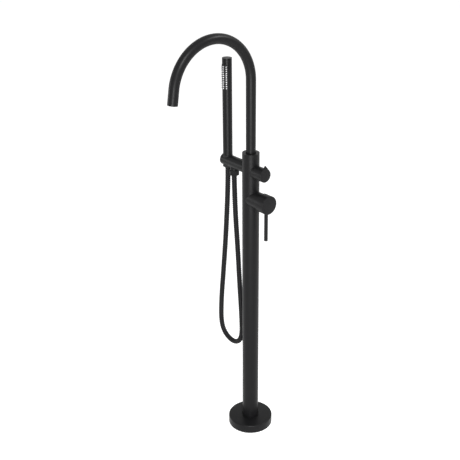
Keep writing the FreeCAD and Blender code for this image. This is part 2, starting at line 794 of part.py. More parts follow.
def make_diverter_knob():
    """The cup-shaped knob, with the pointed lobe that shows where the water goes."""
    outer = "(diverter_diameter / 2)"
    inner = f"({outer} - diverter_wall)"
    back = "(diverter_seam + seam_gap)"
    hole = "(diverter_spline_diameter / 2 + fit_gap)"
    hub_front = "(diverter_hub_back + diverter_hub_depth)"
    knob = turned_body("diverter_knob_body", [
        (back, inner),
        (back, outer),
        ("diverter_front - diverter_edge", outer),
        ("diverter_front", f"{outer} - diverter_edge"),
        ("diverter_front", "0"),
        (hub_front, "0"),
        (hub_front, hole),
        ("diverter_hub_back", hole),
        ("diverter_hub_back", "diverter_hub_diameter / 2"),
        ("diverter_front - diverter_face", "diverter_hub_diameter / 2"),
        ("diverter_front - diverter_face", inner),
    ], "H_Axis")
    doc.recompute()
    lobe_sketch = sketch_on(knob, "pointer_sketch", "YZ_Plane")
    lobe_sketch.AttachmentOffset = FreeCAD.Placement(Vector(0, 0, value("diverter_front")), FreeCAD.Rotation())
    bind(lobe_sketch, "AttachmentOffset.Base.z", "diverter_front")
    touch = f"({outer} - diverter_edge)"
    across = f"({touch} * sqrt(1 - ({touch} / pointer_height) ^ 2))"
    up = f"({touch} * {touch} / pointer_height)"
    draw_outline(lobe_sketch, [
        (f"-{across}", up),
        (across, up),
        ("pointer_tip / 2", "pointer_height"),
        ("-pointer_tip / 2", "pointer_height"),
    ])
    lobe = knob.newObject("PartDesign::Pad", "pointer_pad")
    lobe.Profile = lobe_sketch
    bind(lobe, "Length", "pointer_thickness")
    lobe.Reversed = True
    place(knob, z="diverter_height")
    screw_hole = rod("knob_screw_hole", "knob_screw_diameter / 2", "diverter_diameter",
                     x=KNOB_SCREW_X, z="diverter_height", toward="-Z")
    keep(cut("diverter_knob", knob, [screw_hole]), "diverter_knob")


KNOB_SCREW_X = "(diverter_hub_back + diverter_hub_depth / 3)"


def make_knob_screw():
    """The set screw under the knob that grips the spindle."""
    start = "(diverter_spline_diameter / 2 + fit_gap)"
    screw = rod("knob_screw_blank", "knob_screw_diameter / 2 - fit_gap", f"diverter_hub_diameter / 2 - {start}",
                x=KNOB_SCREW_X, z=f"diverter_height - {start}", toward="-Z")
    socket = hexagon("knob_screw_socket", "knob_screw_diameter / 2", "2",
                     x=KNOB_SCREW_X, z="diverter_height - diverter_hub_diameter / 2 - 0.5")
    keep(cut("knob_screw", screw, [socket]), "diverter_knob_screw")


# ---------------------------------------------------------------- mixer

MIXER_RADIUS = "(mixer_diameter / 2)"
SKIRT_INNER = "(mixer_diameter / 2 - mixer_skirt_wall)"
HUB_BACK = "(mixer_pivot + mixer_skirt_depth)"


def make_mixer_housing():
    """The cup screwed into the casting that holds the mixer cartridge."""
    outer = "(housing_diameter / 2)"
    inner = "(housing_diameter / 2 - housing_wall)"
    housing = turned_body("mixer_housing_body", [
        ("housing_back", "0"),
        ("housing_back", outer),
        ("housing_front", outer),
        ("housing_front", inner),
        ("housing_back + housing_floor", inner),
        ("housing_back + housing_floor", "0"),
    ], "H_Axis")
    place(housing, z="mixer_height")
    ports = [
        rod("housing_hot_port", "inlet_bore / 3", "2 * housing_floor",
            x="housing_back - 1", y="-inlet_spacing / 2", z="mixer_height - inlet_bore / 2", toward="+X"),
        rod("housing_cold_port", "inlet_bore / 3", "2 * housing_floor",
            x="housing_back - 1", y="inlet_spacing / 2", z="mixer_height - inlet_bore / 2", toward="+X"),
        rod("housing_mixed_port", "water_duct_diameter / 3", "2 * housing_floor",
            x="housing_back - 1", z="mixer_height + housing_diameter / 4", toward="+X"),
    ]
    keep(cut("mixer_housing", housing, ports), "mixer_housing")


def make_mixer_cartridge():
    """The ceramic cartridge's case, with the round seat of its lever carrier."""
    bore = "(carrier_diameter / 2 + running_gap)"
    back = "(housing_back + housing_floor + fit_gap)"
    cartridge = turned_body("mixer_cartridge_body", [
        (back, "0"),
        (back, "cartridge_diameter / 2"),
        ("housing_front", "cartridge_diameter / 2"),
        ("housing_front", "cartridge_neck_diameter / 2"),
        ("cartridge_front", "cartridge_neck_diameter / 2"),
        ("cartridge_front", bore),
        ("cartridge_front - cartridge_bore_depth", bore),
        ("cartridge_front - cartridge_bore_depth", "0"),
    ], "H_Axis")
    keep(place(cartridge, z="mixer_height"), "mixer_cartridge")


def make_cartridge_nut():
    """The ring nut that holds the cartridge down by its shoulder and centres the sleeve."""
    thread = "(housing_diameter / 2 + fit_gap)"
    rim = "(sleeve_diameter / 2 - sleeve_wall - fit_gap)"
    neck = "(cartridge_neck_diameter / 2 + fit_gap)"
    seat = "(housing_front + fit_gap)"
    nut = turned_body("cartridge_nut_body", [
        ("cartridge_nut_back", thread),
        ("cartridge_nut_back", rim),
        ("cartridge_nut_front", rim),
        ("cartridge_nut_front", neck),
        (seat, neck),
        (seat, thread),
    ], "H_Axis")
    keep(place(nut, z="mixer_height"), "cartridge_nut")


def make_mixer_sleeve():
    """The fixed shroud: back edge shaped to the column, front turned to a ball nose."""
    outer = "(sleeve_diameter / 2)"
    inner = "(sleeve_diameter / 2 - sleeve_wall)"
    nose = "(mixer_pivot + sleeve_nose)"
    outer_end = (nose, f"sqrt({outer} ^ 2 - sleeve_nose ^ 2)")
    inner_end = (nose, f"sqrt({inner} ^ 2 - sleeve_nose ^ 2)")
    corners = [("0", inner), ("0", outer), ("mixer_pivot", outer), outer_end, inner_end, ("mixer_pivot", inner)]
    spots = [Vector(value(x), value(y), 0) for x, y in corners]
    centre = ("mixer_pivot", "0")
    hub = Vector(value("mixer_pivot"), 0, 0)
    body = doc.addObject("PartDesign::Body", "mixer_sleeve_body")
    sketch = sketch_on(body, "mixer_sleeve_outline", "XZ_Plane")
    sketch.addGeometry(Part.LineSegment(spots[0], spots[1]))
    sketch.addGeometry(Part.LineSegment(spots[1], spots[2]))
    sketch.addGeometry(ball_arc(hub, spots[3], spots[2]))
    sketch.addGeometry(Part.LineSegment(spots[3], spots[4]))
    sketch.addGeometry(ball_arc(hub, spots[4], spots[5]))
    sketch.addGeometry(Part.LineSegment(spots[5], spots[0]))
    # Each arc is drawn anticlockwise, so the outer one runs against the outline.
    for first, second in (((0, 2), (1, 1)), ((1, 2), (2, 2)), ((2, 1), (3, 1)), ((3, 2), (4, 1)),
                          ((4, 2), (5, 1)), ((5, 2), (0, 1))):
        sketch.addConstraint(Sketcher.Constraint("Coincident", *first, *second))
    for edge, end, point in ((0, 1, corners[0]), (1, 1, corners[1]), (1, 2, corners[2]), (4, 2, corners[5])):
        pin_point(sketch, edge, end, point)
    for edge in (2, 4):
        pin_point(sketch, edge, 3, centre)
        number = sketch.addConstraint(Sketcher.Constraint("DistanceX", -1, 1, edge, 1, value(nose)))
        bind(sketch, f"Constraints[{number}]", nose)
    turning = body.newObject("PartDesign::Revolution", "mixer_sleeve_turning")
    turning.Profile = sketch
    turning.ReferenceAxis = (sketch, ["H_Axis"])
    turning.Angle = 360
    place(body, z="mixer_height")
    keep(cut("mixer_sleeve", body, [column_core("mixer_sleeve_trim")]), "mixer_sleeve")


def ball_arc(centre, start, end):
    """The arc about a centre from one point anticlockwise to another."""
    circle = Part.Circle(centre, Vector(0, 0, 1), (start - centre).Length)
    return Part.ArcOfCircle(circle, circle.parameter(start), circle.parameter(end))


def make_lever_carrier():
    """The round carrier that turns in the cartridge, slotted for the tilting stem."""
    carrier = turned_body("lever_carrier_body", [
        ("carrier_back", "0"),
        ("carrier_back", "carrier_diameter / 2"),
        ("carrier_front", "carrier_diameter / 2"),
        ("carrier_front", "0"),
    ], "H_Axis")
    place(carrier, z="mixer_height")
    slot = doc.addObject("Part::Box", "carrier_slot")
    bind(slot, "Length", "carrier_front")
    bind(slot, "Width", "stem_width + 2 * running_gap")
    bind(slot, "Height", "carrier_slot_height")
    place(slot, x="carrier_back + carrier_web", y="-stem_width / 2 - running_gap",
          z="mixer_height - carrier_slot_height / 2")
    hole = rod("carrier_pin_hole", "tilt_pin_diameter / 2", "2 * carrier_diameter",
               x="mixer_pivot", y="carrier_diameter", z="mixer_height", toward="-Y")
    keep(cut("lever_carrier", carrier, [slot, hole]), "lever_carrier")


def make_tilt_pin():
    """The pin across the carrier on which the lever's stem tilts."""
    pin = rod("tilt_pin_rod", "tilt_pin_diameter / 2", "tilt_pin_length",
              x="mixer_pivot", y="tilt_pin_length / 2", z="mixer_height", toward="-Y")
    keep(pin, "tilt_pin")


def make_lever_stem():
    """The square stem that tilts on the pin and carries the handle."""
    stem = doc.addObject("Part::Box", "lever_stem_box")
    bind(stem, "Length", f"{HUB_BACK} + stem_depth - mixer_pivot + stem_tail")
    bind(stem, "Width", "stem_width")
    bind(stem, "Height", "stem_width")
    place(stem, x="mixer_pivot - stem_tail", y="-stem_width / 2", z="mixer_height - stem_width / 2")
    hole = rod("stem_pin_hole", "tilt_pin_diameter / 2 + fit_gap", "2 * stem_width",
               x="mixer_pivot", y="stem_width", z="mixer_height", toward="-Y")
    keep(cut("lever_stem", stem, [hole]), "lever_stem")


def make_mixer_handle():
    """The round handle: a thin skirt over the ball nose, a hub for the stem, a flat face."""
    bore = "(mixer_diameter / 2 - mixer_rim_wall)"
    face_back = "(mixer_front - mixer_face)"
    cup = turned_body("mixer_handle_body", [
        ("mixer_pivot", SKIRT_INNER),
        ("mixer_pivot", MIXER_RADIUS),
        ("mixer_front - mixer_edge", MIXER_RADIUS),
        ("mixer_front", f"{MIXER_RADIUS} - mixer_edge"),
        ("mixer_front", "0"),
        (HUB_BACK, "0"),
        (HUB_BACK, "mixer_hub_diameter / 2"),
        (face_back, "mixer_hub_diameter / 2"),
        (face_back, bore),
        (HUB_BACK, bore),
        (HUB_BACK, SKIRT_INNER),
    ], "H_Axis")
    place(cup, z="mixer_height")
    socket = doc.addObject("Part::Box", "handle_stem_socket")
    bind(socket, "Length", "stem_depth + 2")
    bind(socket, "Width", "stem_width + 2 * fit_gap")
    bind(socket, "Height", "stem_width + 2 * fit_gap")
    place(socket, x=f"{HUB_BACK} - 1", y="-stem_width / 2 - fit_gap", z="mixer_height - stem_width / 2 - fit_gap")
    stud_hole = rod("handle_stud_hole", "lever_stud_diameter / 2 + fit_gap", "mixer_diameter",
                    x="lever_position", z="mixer_height - stem_width / 2", toward="-Z")
    lever_seat = rod("handle_lever_seat", "lever_diameter / 2 + fit_gap", "mixer_diameter",
                     x="lever_position", z=f"mixer_height - {MIXER_RADIUS} + lever_recess", toward="-Z")
    screw_hole = rod("handle_screw_hole", "handle_screw_diameter / 2", "mixer_diameter",
                     x="lever_position", y="stem_width / 2", z="mixer_height", toward="+Y")
    keep(cut("mixer_handle", cup, [socket, stud_hole, lever_seat, screw_hole]), "mixer_handle")


def make_lever_pin():
    """The straight lever rod, screwed into the underside of the handle by its stud."""
    top = f"(mixer_height - {MIXER_RADIUS} + lever_recess)"
    pin = turned_body("lever_pin_body", [
        ("0", "lever_bottom"),
        ("lever_diameter / 2 - lever_edge", "lever_bottom"),
        ("lever_diameter / 2", "lever_bottom + lever_edge"),
        ("lever_diameter / 2", top),
        ("lever_stud_diameter / 2", top),
        ("lever_stud_diameter / 2", f"{top} + lever_stud_length"),
        ("0", f"{top} + lever_stud_length"),
    ])
    keep(place(pin, x="lever_position"), "lever_pin")


def make_handle_screw():
    """The set screw at the back of the handle's hub that grips the stem."""
    start = "(stem_width / 2 + fit_gap)"
    screw = rod("handle_screw_blank", "handle_screw_diameter / 2 - fit_gap", f"mixer_hub_diameter / 2 - {start}",
                x="lever_position", y=start, z="mixer_height", toward="+Y")
    socket = hexagon("handle_screw_socket", "handle_screw_diameter / 2", "3",
                     x="lever_position", y="mixer_hub_diameter / 2 - 2", z="mixer_height",
                     axis=(1, 0, 0), angle=-90)
    keep(cut("handle_screw", screw, [socket]), "handle_set_screw")


# ---------------------------------------------------------------- holder bar

BAR_RADIUS = "(bar_diameter / 2)"
SOCKET_TOP = f"(bar_height + {BAR_RADIUS})"
THREAD_RADIUS = "(thread_diameter / 2)"


def make_holder_bar():
    """The bar from the column: it carries the hand shower and feeds the hose below."""
    bar = turned_body("holder_bar_body", [
        ("0", "0"),
        ("0", BAR_RADIUS),
        ("bar_end - bar_edge", BAR_RADIUS),
        ("bar_end", f"{BAR_RADIUS} - bar_edge"),
        ("bar_end", "0"),
    ], "H_Axis")
    place(bar, z="bar_height", angle=180)
    tools = [
        column_core("holder_bar_trim"),
        rod("bar_stud_bore", "stud_diameter / 2 + fit_gap", "stud_end", z="bar_height", toward="-X"),
        rod("bar_duct", "bar_duct_diameter / 2", "outlet_position", z="bar_height", toward="-X"),
        rod("bar_outlet_port", "outlet_port_diameter / 2 + fit_gap", "bar_diameter",
            x="-outlet_position", z="bar_height", toward="-Z"),
        rod("bar_outlet_face", "outlet_collar_diameter / 2 + fit_gap", "bar_diameter",
            x="-outlet_position", z="bar_height - outlet_collar_start", toward="-Z"),
        rod("bar_socket_bore", "socket_diameter / 2 + fit_gap", "2 * bar_diameter",
            x="-handset_position", z="bar_height - bar_diameter"),
    ]
    keep(cut("holder_bar", bar, tools), "holder_bar")


def make_holder_stud():
    """The hollow stud that fixes the bar to the casting through the column's wall."""
    stud = turned_body("holder_stud_body", [
        ("stud_start", "bar_duct_diameter / 2"),
        ("stud_start", "stud_diameter / 2"),
        ("stud_end - seat_gap", "stud_diameter / 2"),
        ("stud_end - seat_gap", "bar_duct_diameter / 2"),
    ], "H_Axis")
    keep(place(stud, z="bar_height", angle=180), "holder_stud")


def make_holder_socket():
    """The plastic liner of the bar's vertical bore, in which the hand shower stands."""
    liner = turned_body("holder_socket_body", tube_points(
        "(socket_bore / 2)", "(socket_diameter / 2)", f"(bar_height - {BAR_RADIUS} - socket_drop)", SOCKET_TOP
    ))
    keep(place(liner, x="-handset_position"), "holder_socket")


def make_hose_outlet():
    """The threaded outlet under the bar."""
    bore = "outlet_bore / 2"
    face = "(bar_height - outlet_collar_start)"
    shoulder = "(bar_height - outlet_collar_end)"
    nipple = turned_body("hose_outlet_body", [
        (bore, NIPPLE_END),
        (THREAD_RADIUS, NIPPLE_END),
        (THREAD_RADIUS, shoulder),
        ("outlet_collar_diameter / 2", shoulder),
        ("outlet_collar_diameter / 2", face),
        ("outlet_port_diameter / 2", face),
        ("outlet_port_diameter / 2", f"{face} + outlet_port_depth"),
        (bore, f"{face} + outlet_port_depth"),
    ])
    keep(place(nipple, x="-outlet_position"), "hose_outlet_nipple")


NUT_BOTTOM = "(bar_height - hose_nut_bottom)"
NIPPLE_END = f"({NUT_BOTTOM} + hose_tail_length + hose_tail_flange + washer_thickness)"
HOSE_HOLE = "(hose_diameter / 2 + fit_gap)"


def make_hose_nut():
    """The hexagon nut that holds the hose on the outlet."""
    prism = hexagon("hose_nut_prism", "hose_nut_flats", "hose_nut_length",
                    x="-outlet_position", z=NUT_BOTTOM, angle=30)
    corner = "(hose_nut_flats / 2 / cos(30))"
    top = f"({NUT_BOTTOM} + hose_nut_length)"
    turned = turned_body("hose_nut_turned", [
        (HOSE_HOLE, NUT_BOTTOM),
        (f"{corner} - 2 * hose_nut_edge", NUT_BOTTOM),
        (corner, f"{NUT_BOTTOM} + hose_nut_edge"),
        (corner, f"{top} - hose_nut_edge / 2"),
        (f"{corner} - hose_nut_edge", top),
        (f"{THREAD_RADIUS} + fit_gap", top),
        (f"{THREAD_RADIUS} + fit_gap", f"{NUT_BOTTOM} + hose_tail_length"),
        (HOSE_HOLE, f"{NUT_BOTTOM} + hose_tail_length"),
    ])
    place(turned, x="-outlet_position")
    nut = doc.addObject("Part::Common", "hose_nut_common")
    nut.Base = prism
    nut.Tool = turned
    keep(nut, "hose_outlet_nut")


def make_hose_fittings(side, x, bottom):
    """A hose end inside its nut: the flanged tail, and the washer that seals on it."""
    shoulder = f"({bottom} + hose_tail_length)"
    flange = f"({shoulder} + hose_tail_flange)"
    tail = turned_body(f"{side}_hose_tail_body", [
        ("washer_bore / 2 - 1", bottom),
        ("hose_diameter / 2", bottom),
        ("hose_diameter / 2", shoulder),
        ("hose_tail_flange_diameter / 2", shoulder),
        ("hose_tail_flange_diameter / 2", flange),
        ("washer_bore / 2 - 1", flange),
    ])
    keep(place(tail, x=x), f"{side}_hose_tail")
    washer = turned_body(f"{side}_washer_body", tube_points(
        "(washer_bore / 2)", "(hose_tail_flange_diameter / 2)", flange, f"({flange} + washer_thickness)"
    ))
    keep(place(washer, x=x), f"{side}_washer")


# ---------------------------------------------------------------- hand shower

HANDSET_RADIUS = "(handset_diameter / 2)"
HANDSET_INNER = "(handset_diameter / 2 - handset_wall)"
CONE_BOTTOM = "(bar_height - cone_nut_drop)"
PLATE_OUTER = f"({HANDSET_RADIUS} + spray_rise)"
PLATE_INNER = f"({PLATE_OUTER} - spray_thickness)"


def sector(name, inner, outer, low, length, angle):
    """A curved strip of the stick's wall, on the side that faces the bath."""
    strips = []
    for part, radius, more in (("outer", outer, "0"), ("inner", inner, "1")):
        strip = doc.addObject("Part::Cylinder", f"{name}_{part}")
        bind(strip, "Radius", radius)
        bind(strip, "Height", f"{length} + 2 * {more}")
        if part == "outer":
            bind(strip, "Angle", angle)
        turn = value("spray_turn_angle") - 90 - value(angle) / 2
        place(strip, x="-handset_position", z=f"{low} - {more}", angle=turn)
        strips.append(strip)
    return cut(name, strips[0], [strips[1]])


def make_handset_body():
    """The stick: a tube with a bevelled foot and the window of the spray plate."""
    tube = turned_body("handset_tube_body", [
        (HANDSET_INNER, "handset_bottom"),
        (f"{HANDSET_RADIUS} - handset_edge", "handset_bottom"),
        (HANDSET_RADIUS, "handset_bottom + handset_edge"),
        (HANDSET_RADIUS, "handset_top - handset_top_edge"),
        (f"{HANDSET_RADIUS} - handset_top_edge", "handset_top"),
        (HANDSET_INNER, "handset_top"),
    ])
    place(tube, x="-handset_position")
    window = sector("spray_window", f"{HANDSET_INNER} - 1", f"{HANDSET_RADIUS} + 1",
                    "spray_bottom", "spray_length", "spray_angle")
    keep(cut("handset_body", tube, [window]), "handset_body")


def make_handset_cap():
    """The disc that closes the top of the stick."""
    cap = turned_body("handset_cap_body", [
        ("0", "handset_top - handset_cap_thickness"),
        (f"{HANDSET_INNER} - fit_gap", "handset_top - handset_cap_thickness"),
        (f"{HANDSET_INNER} - fit_gap", "handset_top"),
        ("0", "handset_top"),
    ])
    keep(place(cap, x="-handset_position"), "handset_top_cap")


def nozzle_places():
    """The height and direction of every nozzle of the spray plate."""
    for number in range(int(value("nozzle_rows"))):
        height = value("nozzle_first") + number * value("nozzle_pitch")
        for column in (-1, 0, 1):
            yield height, radians(value("spray_turn_angle") - 90 + column * value("nozzle_column_angle"))


def nozzle_tool(kind, name, start, height, turn):
    """A primitive that points out of the stick at one nozzle's place."""
    item = doc.addObject(kind, name)
    outward = Vector(cos(turn), sin(turn), 0)
    axis = Vector(-value("handset_position"), 0, height)
    item.Placement = FreeCAD.Placement(axis + outward * value(start), FreeCAD.Rotation(Vector(0, 0, 1), outward))
    return item


def make_spray_plate():
    """The curved plate in the stick's window, drilled for the nozzles."""
    inset = "running_gap"
    plate = sector("spray_plate_strip", PLATE_INNER, PLATE_OUTER, f"spray_bottom + {inset}",
                   f"spray_length - 2 * {inset}", "spray_angle - 1")
    holes = []
    for number, (height, turn) in enumerate(nozzle_places()):
        hole = nozzle_tool("Part::Cylinder", f"spray_hole_{number}", f"{PLATE_INNER} - 2", height, turn)
        bind(hole, "Radius", "nozzle_base_diameter / 2 + fit_gap")
        bind(hole, "Height", "spray_thickness + 4")
        holes.append(hole)
    drilled = doc.addObject("Part::Cut", "spray_plate_drilled")
    drilled.Base = plate
    drilled.Tool = group("spray_holes", holes)
    keep(drilled, "spray_plate")


def make_nozzle_mat():
    """The soft mat behind the plate, whose tapered nozzles stand through its holes."""
    outer = f"({PLATE_INNER} - fit_gap)"
    mat = sector("nozzle_mat_strip", f"{outer} - spray_mat_thickness", outer, "spray_bottom + 1",
                 "spray_length - 2", "spray_angle - 8")
    nozzles = []
    for number, (height, turn) in enumerate(nozzle_places()):
        root = f"({outer} - spray_mat_thickness / 2)"
        nozzle = nozzle_tool("Part::Cone", f"nozzle_{number}", root, height, turn)
        bind(nozzle, "Radius1", "nozzle_base_diameter / 2")
        bind(nozzle, "Radius2", "nozzle_tip_diameter / 2")
        bind(nozzle, "Height", f"nozzle_reach - {root}")
        nozzles.append(nozzle)
    fused = doc.addObject("Part::MultiFuse", "nozzle_mat_fused")
    fused.Shapes = [mat] + nozzles
    keep(fused, "nozzle_mat")


def make_handset_nipple():
    """The threaded insert in the foot of the stick."""
    plug_top = "(handset_bottom + nipple_plug_length)"
    thread_end = f"({CONE_BOTTOM} + hose_tail_length + hose_tail_flange + washer_thickness)"
    nipple = turned_body("handset_nipple_body", [
        ("nipple_bore / 2", thread_end),
        (THREAD_RADIUS, thread_end),
        (THREAD_RADIUS, "handset_bottom"),
        (f"{HANDSET_INNER} - fit_gap", "handset_bottom"),
        (f"{HANDSET_INNER} - fit_gap", plug_top),
        ("nipple_bore / 2", plug_top),
    ])
    keep(place(nipple, x="-handset_position"), "handset_nipple")


def make_cone_nut():
    """The tapered hose nut under the stick, which stands in the holder's socket."""
    outer = "(cone_nut_diameter / 2)"
    taper_top = f"({CONE_BOTTOM} + cone_nut_taper_length + 0.6)"
    nut = turned_body("handset_nut_body", [
        (HOSE_HOLE, CONE_BOTTOM),
        ("cone_nut_tip_diameter / 2", CONE_BOTTOM),
        ("cone_nut_tip_diameter / 2", f"{CONE_BOTTOM} + 0.6"),
        (outer, taper_top),
        (outer, "handset_bottom"),
        (f"{THREAD_RADIUS} + fit_gap", "handset_bottom"),
        (f"{THREAD_RADIUS} + fit_gap", f"{CONE_BOTTOM} + hose_tail_length"),
        (HOSE_HOLE, f"{CONE_BOTTOM} + hose_tail_length"),
    ])
    keep(place(nut, x="-handset_position"), "handset_cone_nut")


# ---------------------------------------------------------------- hose

# The hose's route in the plane of the bar, as places on X and depths under the bar's axis:
# from the hand shower down and round to the outlet. Both ends leave their tails straight.
HOSE_ROUTE = [
    (-98.0, 147.1),
    (-106.5, 247.1),
    (-117.5, 347.1),
    (-127.5, 432.1),
    (-130.5, 517.1),
    (-104.5, 548.1),
    (-65.0, 552.6),
    (-36.0, 523.1),
    (-38.5, 447.1),
    (-46.0, 357.1),
    (-53.5, 247.1),
    (-62.5, 147.1),
]
ARC_SHARE = 0.45


def make_hose():
    """The hose as a plain tube: straight runs joined by tangent arcs."""
    bar = value("bar_height")
    lead = value("bar_height - hose_lead_drop")
    start = Vector(-value("handset_position"), 0, value(CONE_BOTTOM))
    end = Vector(-value("outlet_position"), 0, value(NUT_BOTTOM))
    hanging = [Vector(x, 0, bar - depth) for x, depth in HOSE_ROUTE]
    points = [start, Vector(start.x, 0, lead), *hanging, Vector(end.x, 0, lead), end]
    edges = []
    last = points[0]
    for before, corner, after in zip(points, points[1:], points[2:]):
        back = (before - corner).normalize()
        onward = (after - corner).normalize()
        reach = ARC_SHARE * min((before - corner).Length, (after - corner).Length)
        half_turn = (pi - back.getAngle(onward)) / 2
        radius = reach / tan(half_turn)
        middle = corner + (back + onward).normalize() * (radius / cos(half_turn) - radius)
        print(f"hose arc radius {radius:.1f} mm")
        edges.append(Part.LineSegment(last, corner + back * reach).toShape())
        edges.append(Part.Arc(corner + back * reach, middle, corner + onward * reach).toShape())
        last = corner + onward * reach
    edges.append(Part.LineSegment(last, end).toShape())
    route = Part.Wire(edges)
    radius = value("hose_diameter / 2")
    ring = Part.Wire([Part.Circle(start, points[1] - points[0], radius).toShape()])
    tube = route.makePipeShell([ring], True, False)
    print(f"hose length {route.Length:.1f} mm, volume ratio {tube.Volume / (pi * radius ** 2 * route.Length):.4f}")
    hose = doc.addObject("Part::Feature", "hose_shape")
    hose.Shape = tube
    hose.Placement = FreeCAD.Placement()
    keep(hose, "shower_hose")


# ---------------------------------------------------------------- build and write

make_base_cover()
make_floor_flange()
make_clamp_screws()
make_column_tube()
make_column_top_ring()
make_valve_body()
make_inlets()
make_spout_tube()
make_spout_stub()
make_spout_o_rings()
make_spout_bush()
make_aerator()
make_diverter_sleeve()
make_diverter_cartridge()
make_diverter_spindle()
make_diverter_knob()
make_knob_screw()
make_mixer_housing()
make_mixer_cartridge()
make_cartridge_nut()
make_mixer_sleeve()
make_lever_carrier()
make_tilt_pin()
make_lever_stem()
make_mixer_handle()
make_lever_pin()
make_handle_screw()
make_holder_bar()
make_holder_stud()
make_holder_socket()
make_hose_outlet()
make_hose_nut()
make_hose_fittings("outlet", "-outlet_position", NUT_BOTTOM)
make_handset_body()
make_handset_cap()
make_spray_plate()
make_nozzle_mat()
make_handset_nipple()
make_cone_nut()
make_hose_fittings("handset", "-handset_position", CONE_BOTTOM)
make_hose()

doc.recompute()

for item in doc.Objects:
    if "Invalid" in item.State or "Error" in item.State:
        raise RuntimeError(f"{item.Label} failed: {item.State}")
for node in NODES:
    if node.Shape.isNull() or not node.Shape.isValid():
        raise RuntimeError(f"{node.Label} has no valid shape")

os.makedirs("parts", exist_ok=True)
for node in NODES:
    node.Shape.exportStep(f"parts/{node.Label}.step")
    print(f"{node.Label:22s} solids {len(node.Shape.Solids)} volume {node.Shape.Volume:.1f}")
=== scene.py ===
import bmesh
import bpy
from math import asin, cos, pi, radians, sin, sqrt, tau
from mathutils import Matrix, Vector


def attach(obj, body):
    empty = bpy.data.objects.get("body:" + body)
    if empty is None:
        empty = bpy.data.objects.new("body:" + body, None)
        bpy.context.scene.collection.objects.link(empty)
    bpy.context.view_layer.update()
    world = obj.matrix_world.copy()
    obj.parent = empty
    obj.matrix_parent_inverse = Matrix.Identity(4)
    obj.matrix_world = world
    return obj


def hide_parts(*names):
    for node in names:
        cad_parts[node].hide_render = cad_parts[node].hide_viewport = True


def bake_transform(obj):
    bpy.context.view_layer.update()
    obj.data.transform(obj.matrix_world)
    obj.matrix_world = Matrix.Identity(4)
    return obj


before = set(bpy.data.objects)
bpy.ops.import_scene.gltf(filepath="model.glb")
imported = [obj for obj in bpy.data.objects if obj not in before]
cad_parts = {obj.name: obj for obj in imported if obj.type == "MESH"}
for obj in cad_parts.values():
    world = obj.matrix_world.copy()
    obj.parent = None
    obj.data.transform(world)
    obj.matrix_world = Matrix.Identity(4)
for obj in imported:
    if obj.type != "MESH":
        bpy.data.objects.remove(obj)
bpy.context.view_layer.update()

# ---------------------------------------------------------------- view
# The photograph looks down at the bath filler from between the spout's side and the lever's
# side. The camera tilts down without any roll, and its picture is shifted a little sideways.
VIEW_PLACE = (1.5842, -1.3729, 1.5905)
VIEW_TILT = 24.95
VIEW_TURN = 49.35


def put(name, data):
    """A new object of some data, linked to the scene."""
    thing = bpy.data.objects.new(name, data)
    bpy.context.scene.collection.objects.link(thing)
    return thing


camera = bpy.data.cameras.new("view")
camera.sensor_width = 36.0
camera.lens = 68.43
camera.shift_x = -0.0371
view = put("view", camera)
view.location = VIEW_PLACE
view.rotation_euler = (radians(90 - VIEW_TILT), 0, radians(VIEW_TURN))
bpy.context.scene.camera = view

# ---------------------------------------------------------------- hose
# The shower hose: a soft inner tube in a black plastic sheath with low ribs across it.
# It hangs in one long loop from the hand shower's foot to the outlet under the bar.
HOSE_DIAMETER = 0.0144
HOSE_SIDES = 20
RIB_PITCH = 0.0058
RIB_DEPTH = 0.0009
RINGS_PER_RIB = 8.0
HOSE_ROUTE = [
    (-0.0923, 0.7665),
    (-0.0923, 0.7350),
    (-0.0980, 0.6400),
    (-0.1065, 0.5400),
    (-0.1175, 0.4400),
    (-0.1275, 0.3550),
    (-0.1305, 0.2700),
    (-0.1045, 0.2390),
    (-0.0650, 0.2345),
    (-0.0360, 0.2640),
    (-0.0385, 0.3400),
    (-0.0460, 0.4300),
    (-0.0535, 0.5400),
    (-0.0625, 0.6400),
    (-0.0665, 0.7350),
    (-0.0665, 0.7525),
]


def linear(hex_colour):
    """An sRGB hex colour as the linear RGBA that a colour socket holds."""
    channels = [int(hex_colour[place:place + 2], 16) / 255 for place in (1, 3, 5)]
    return [c / 12.92 if c <= 0.04045 else ((c + 0.055) / 1.055) ** 2.4 for c in channels] + [1.0]


def add(tree, kind, inputs=None, **settings):
    """One node with its settings and its inputs, each a value or another node's output."""
    node = tree.nodes.new(kind)
    for name, setting in settings.items():
        setattr(node, name, setting)
    for name, source in (inputs or {}).items():
        if isinstance(source, bpy.types.NodeSocket):
            tree.links.new(source, node.inputs[name])
        else:
            node.inputs[name].default_value = source
    return node


def bare_material(name):
    """A material whose node tree is still empty."""
    material = bpy.data.materials.new(name)
    material.use_nodes = True
    material.node_tree.nodes.clear()
    return material


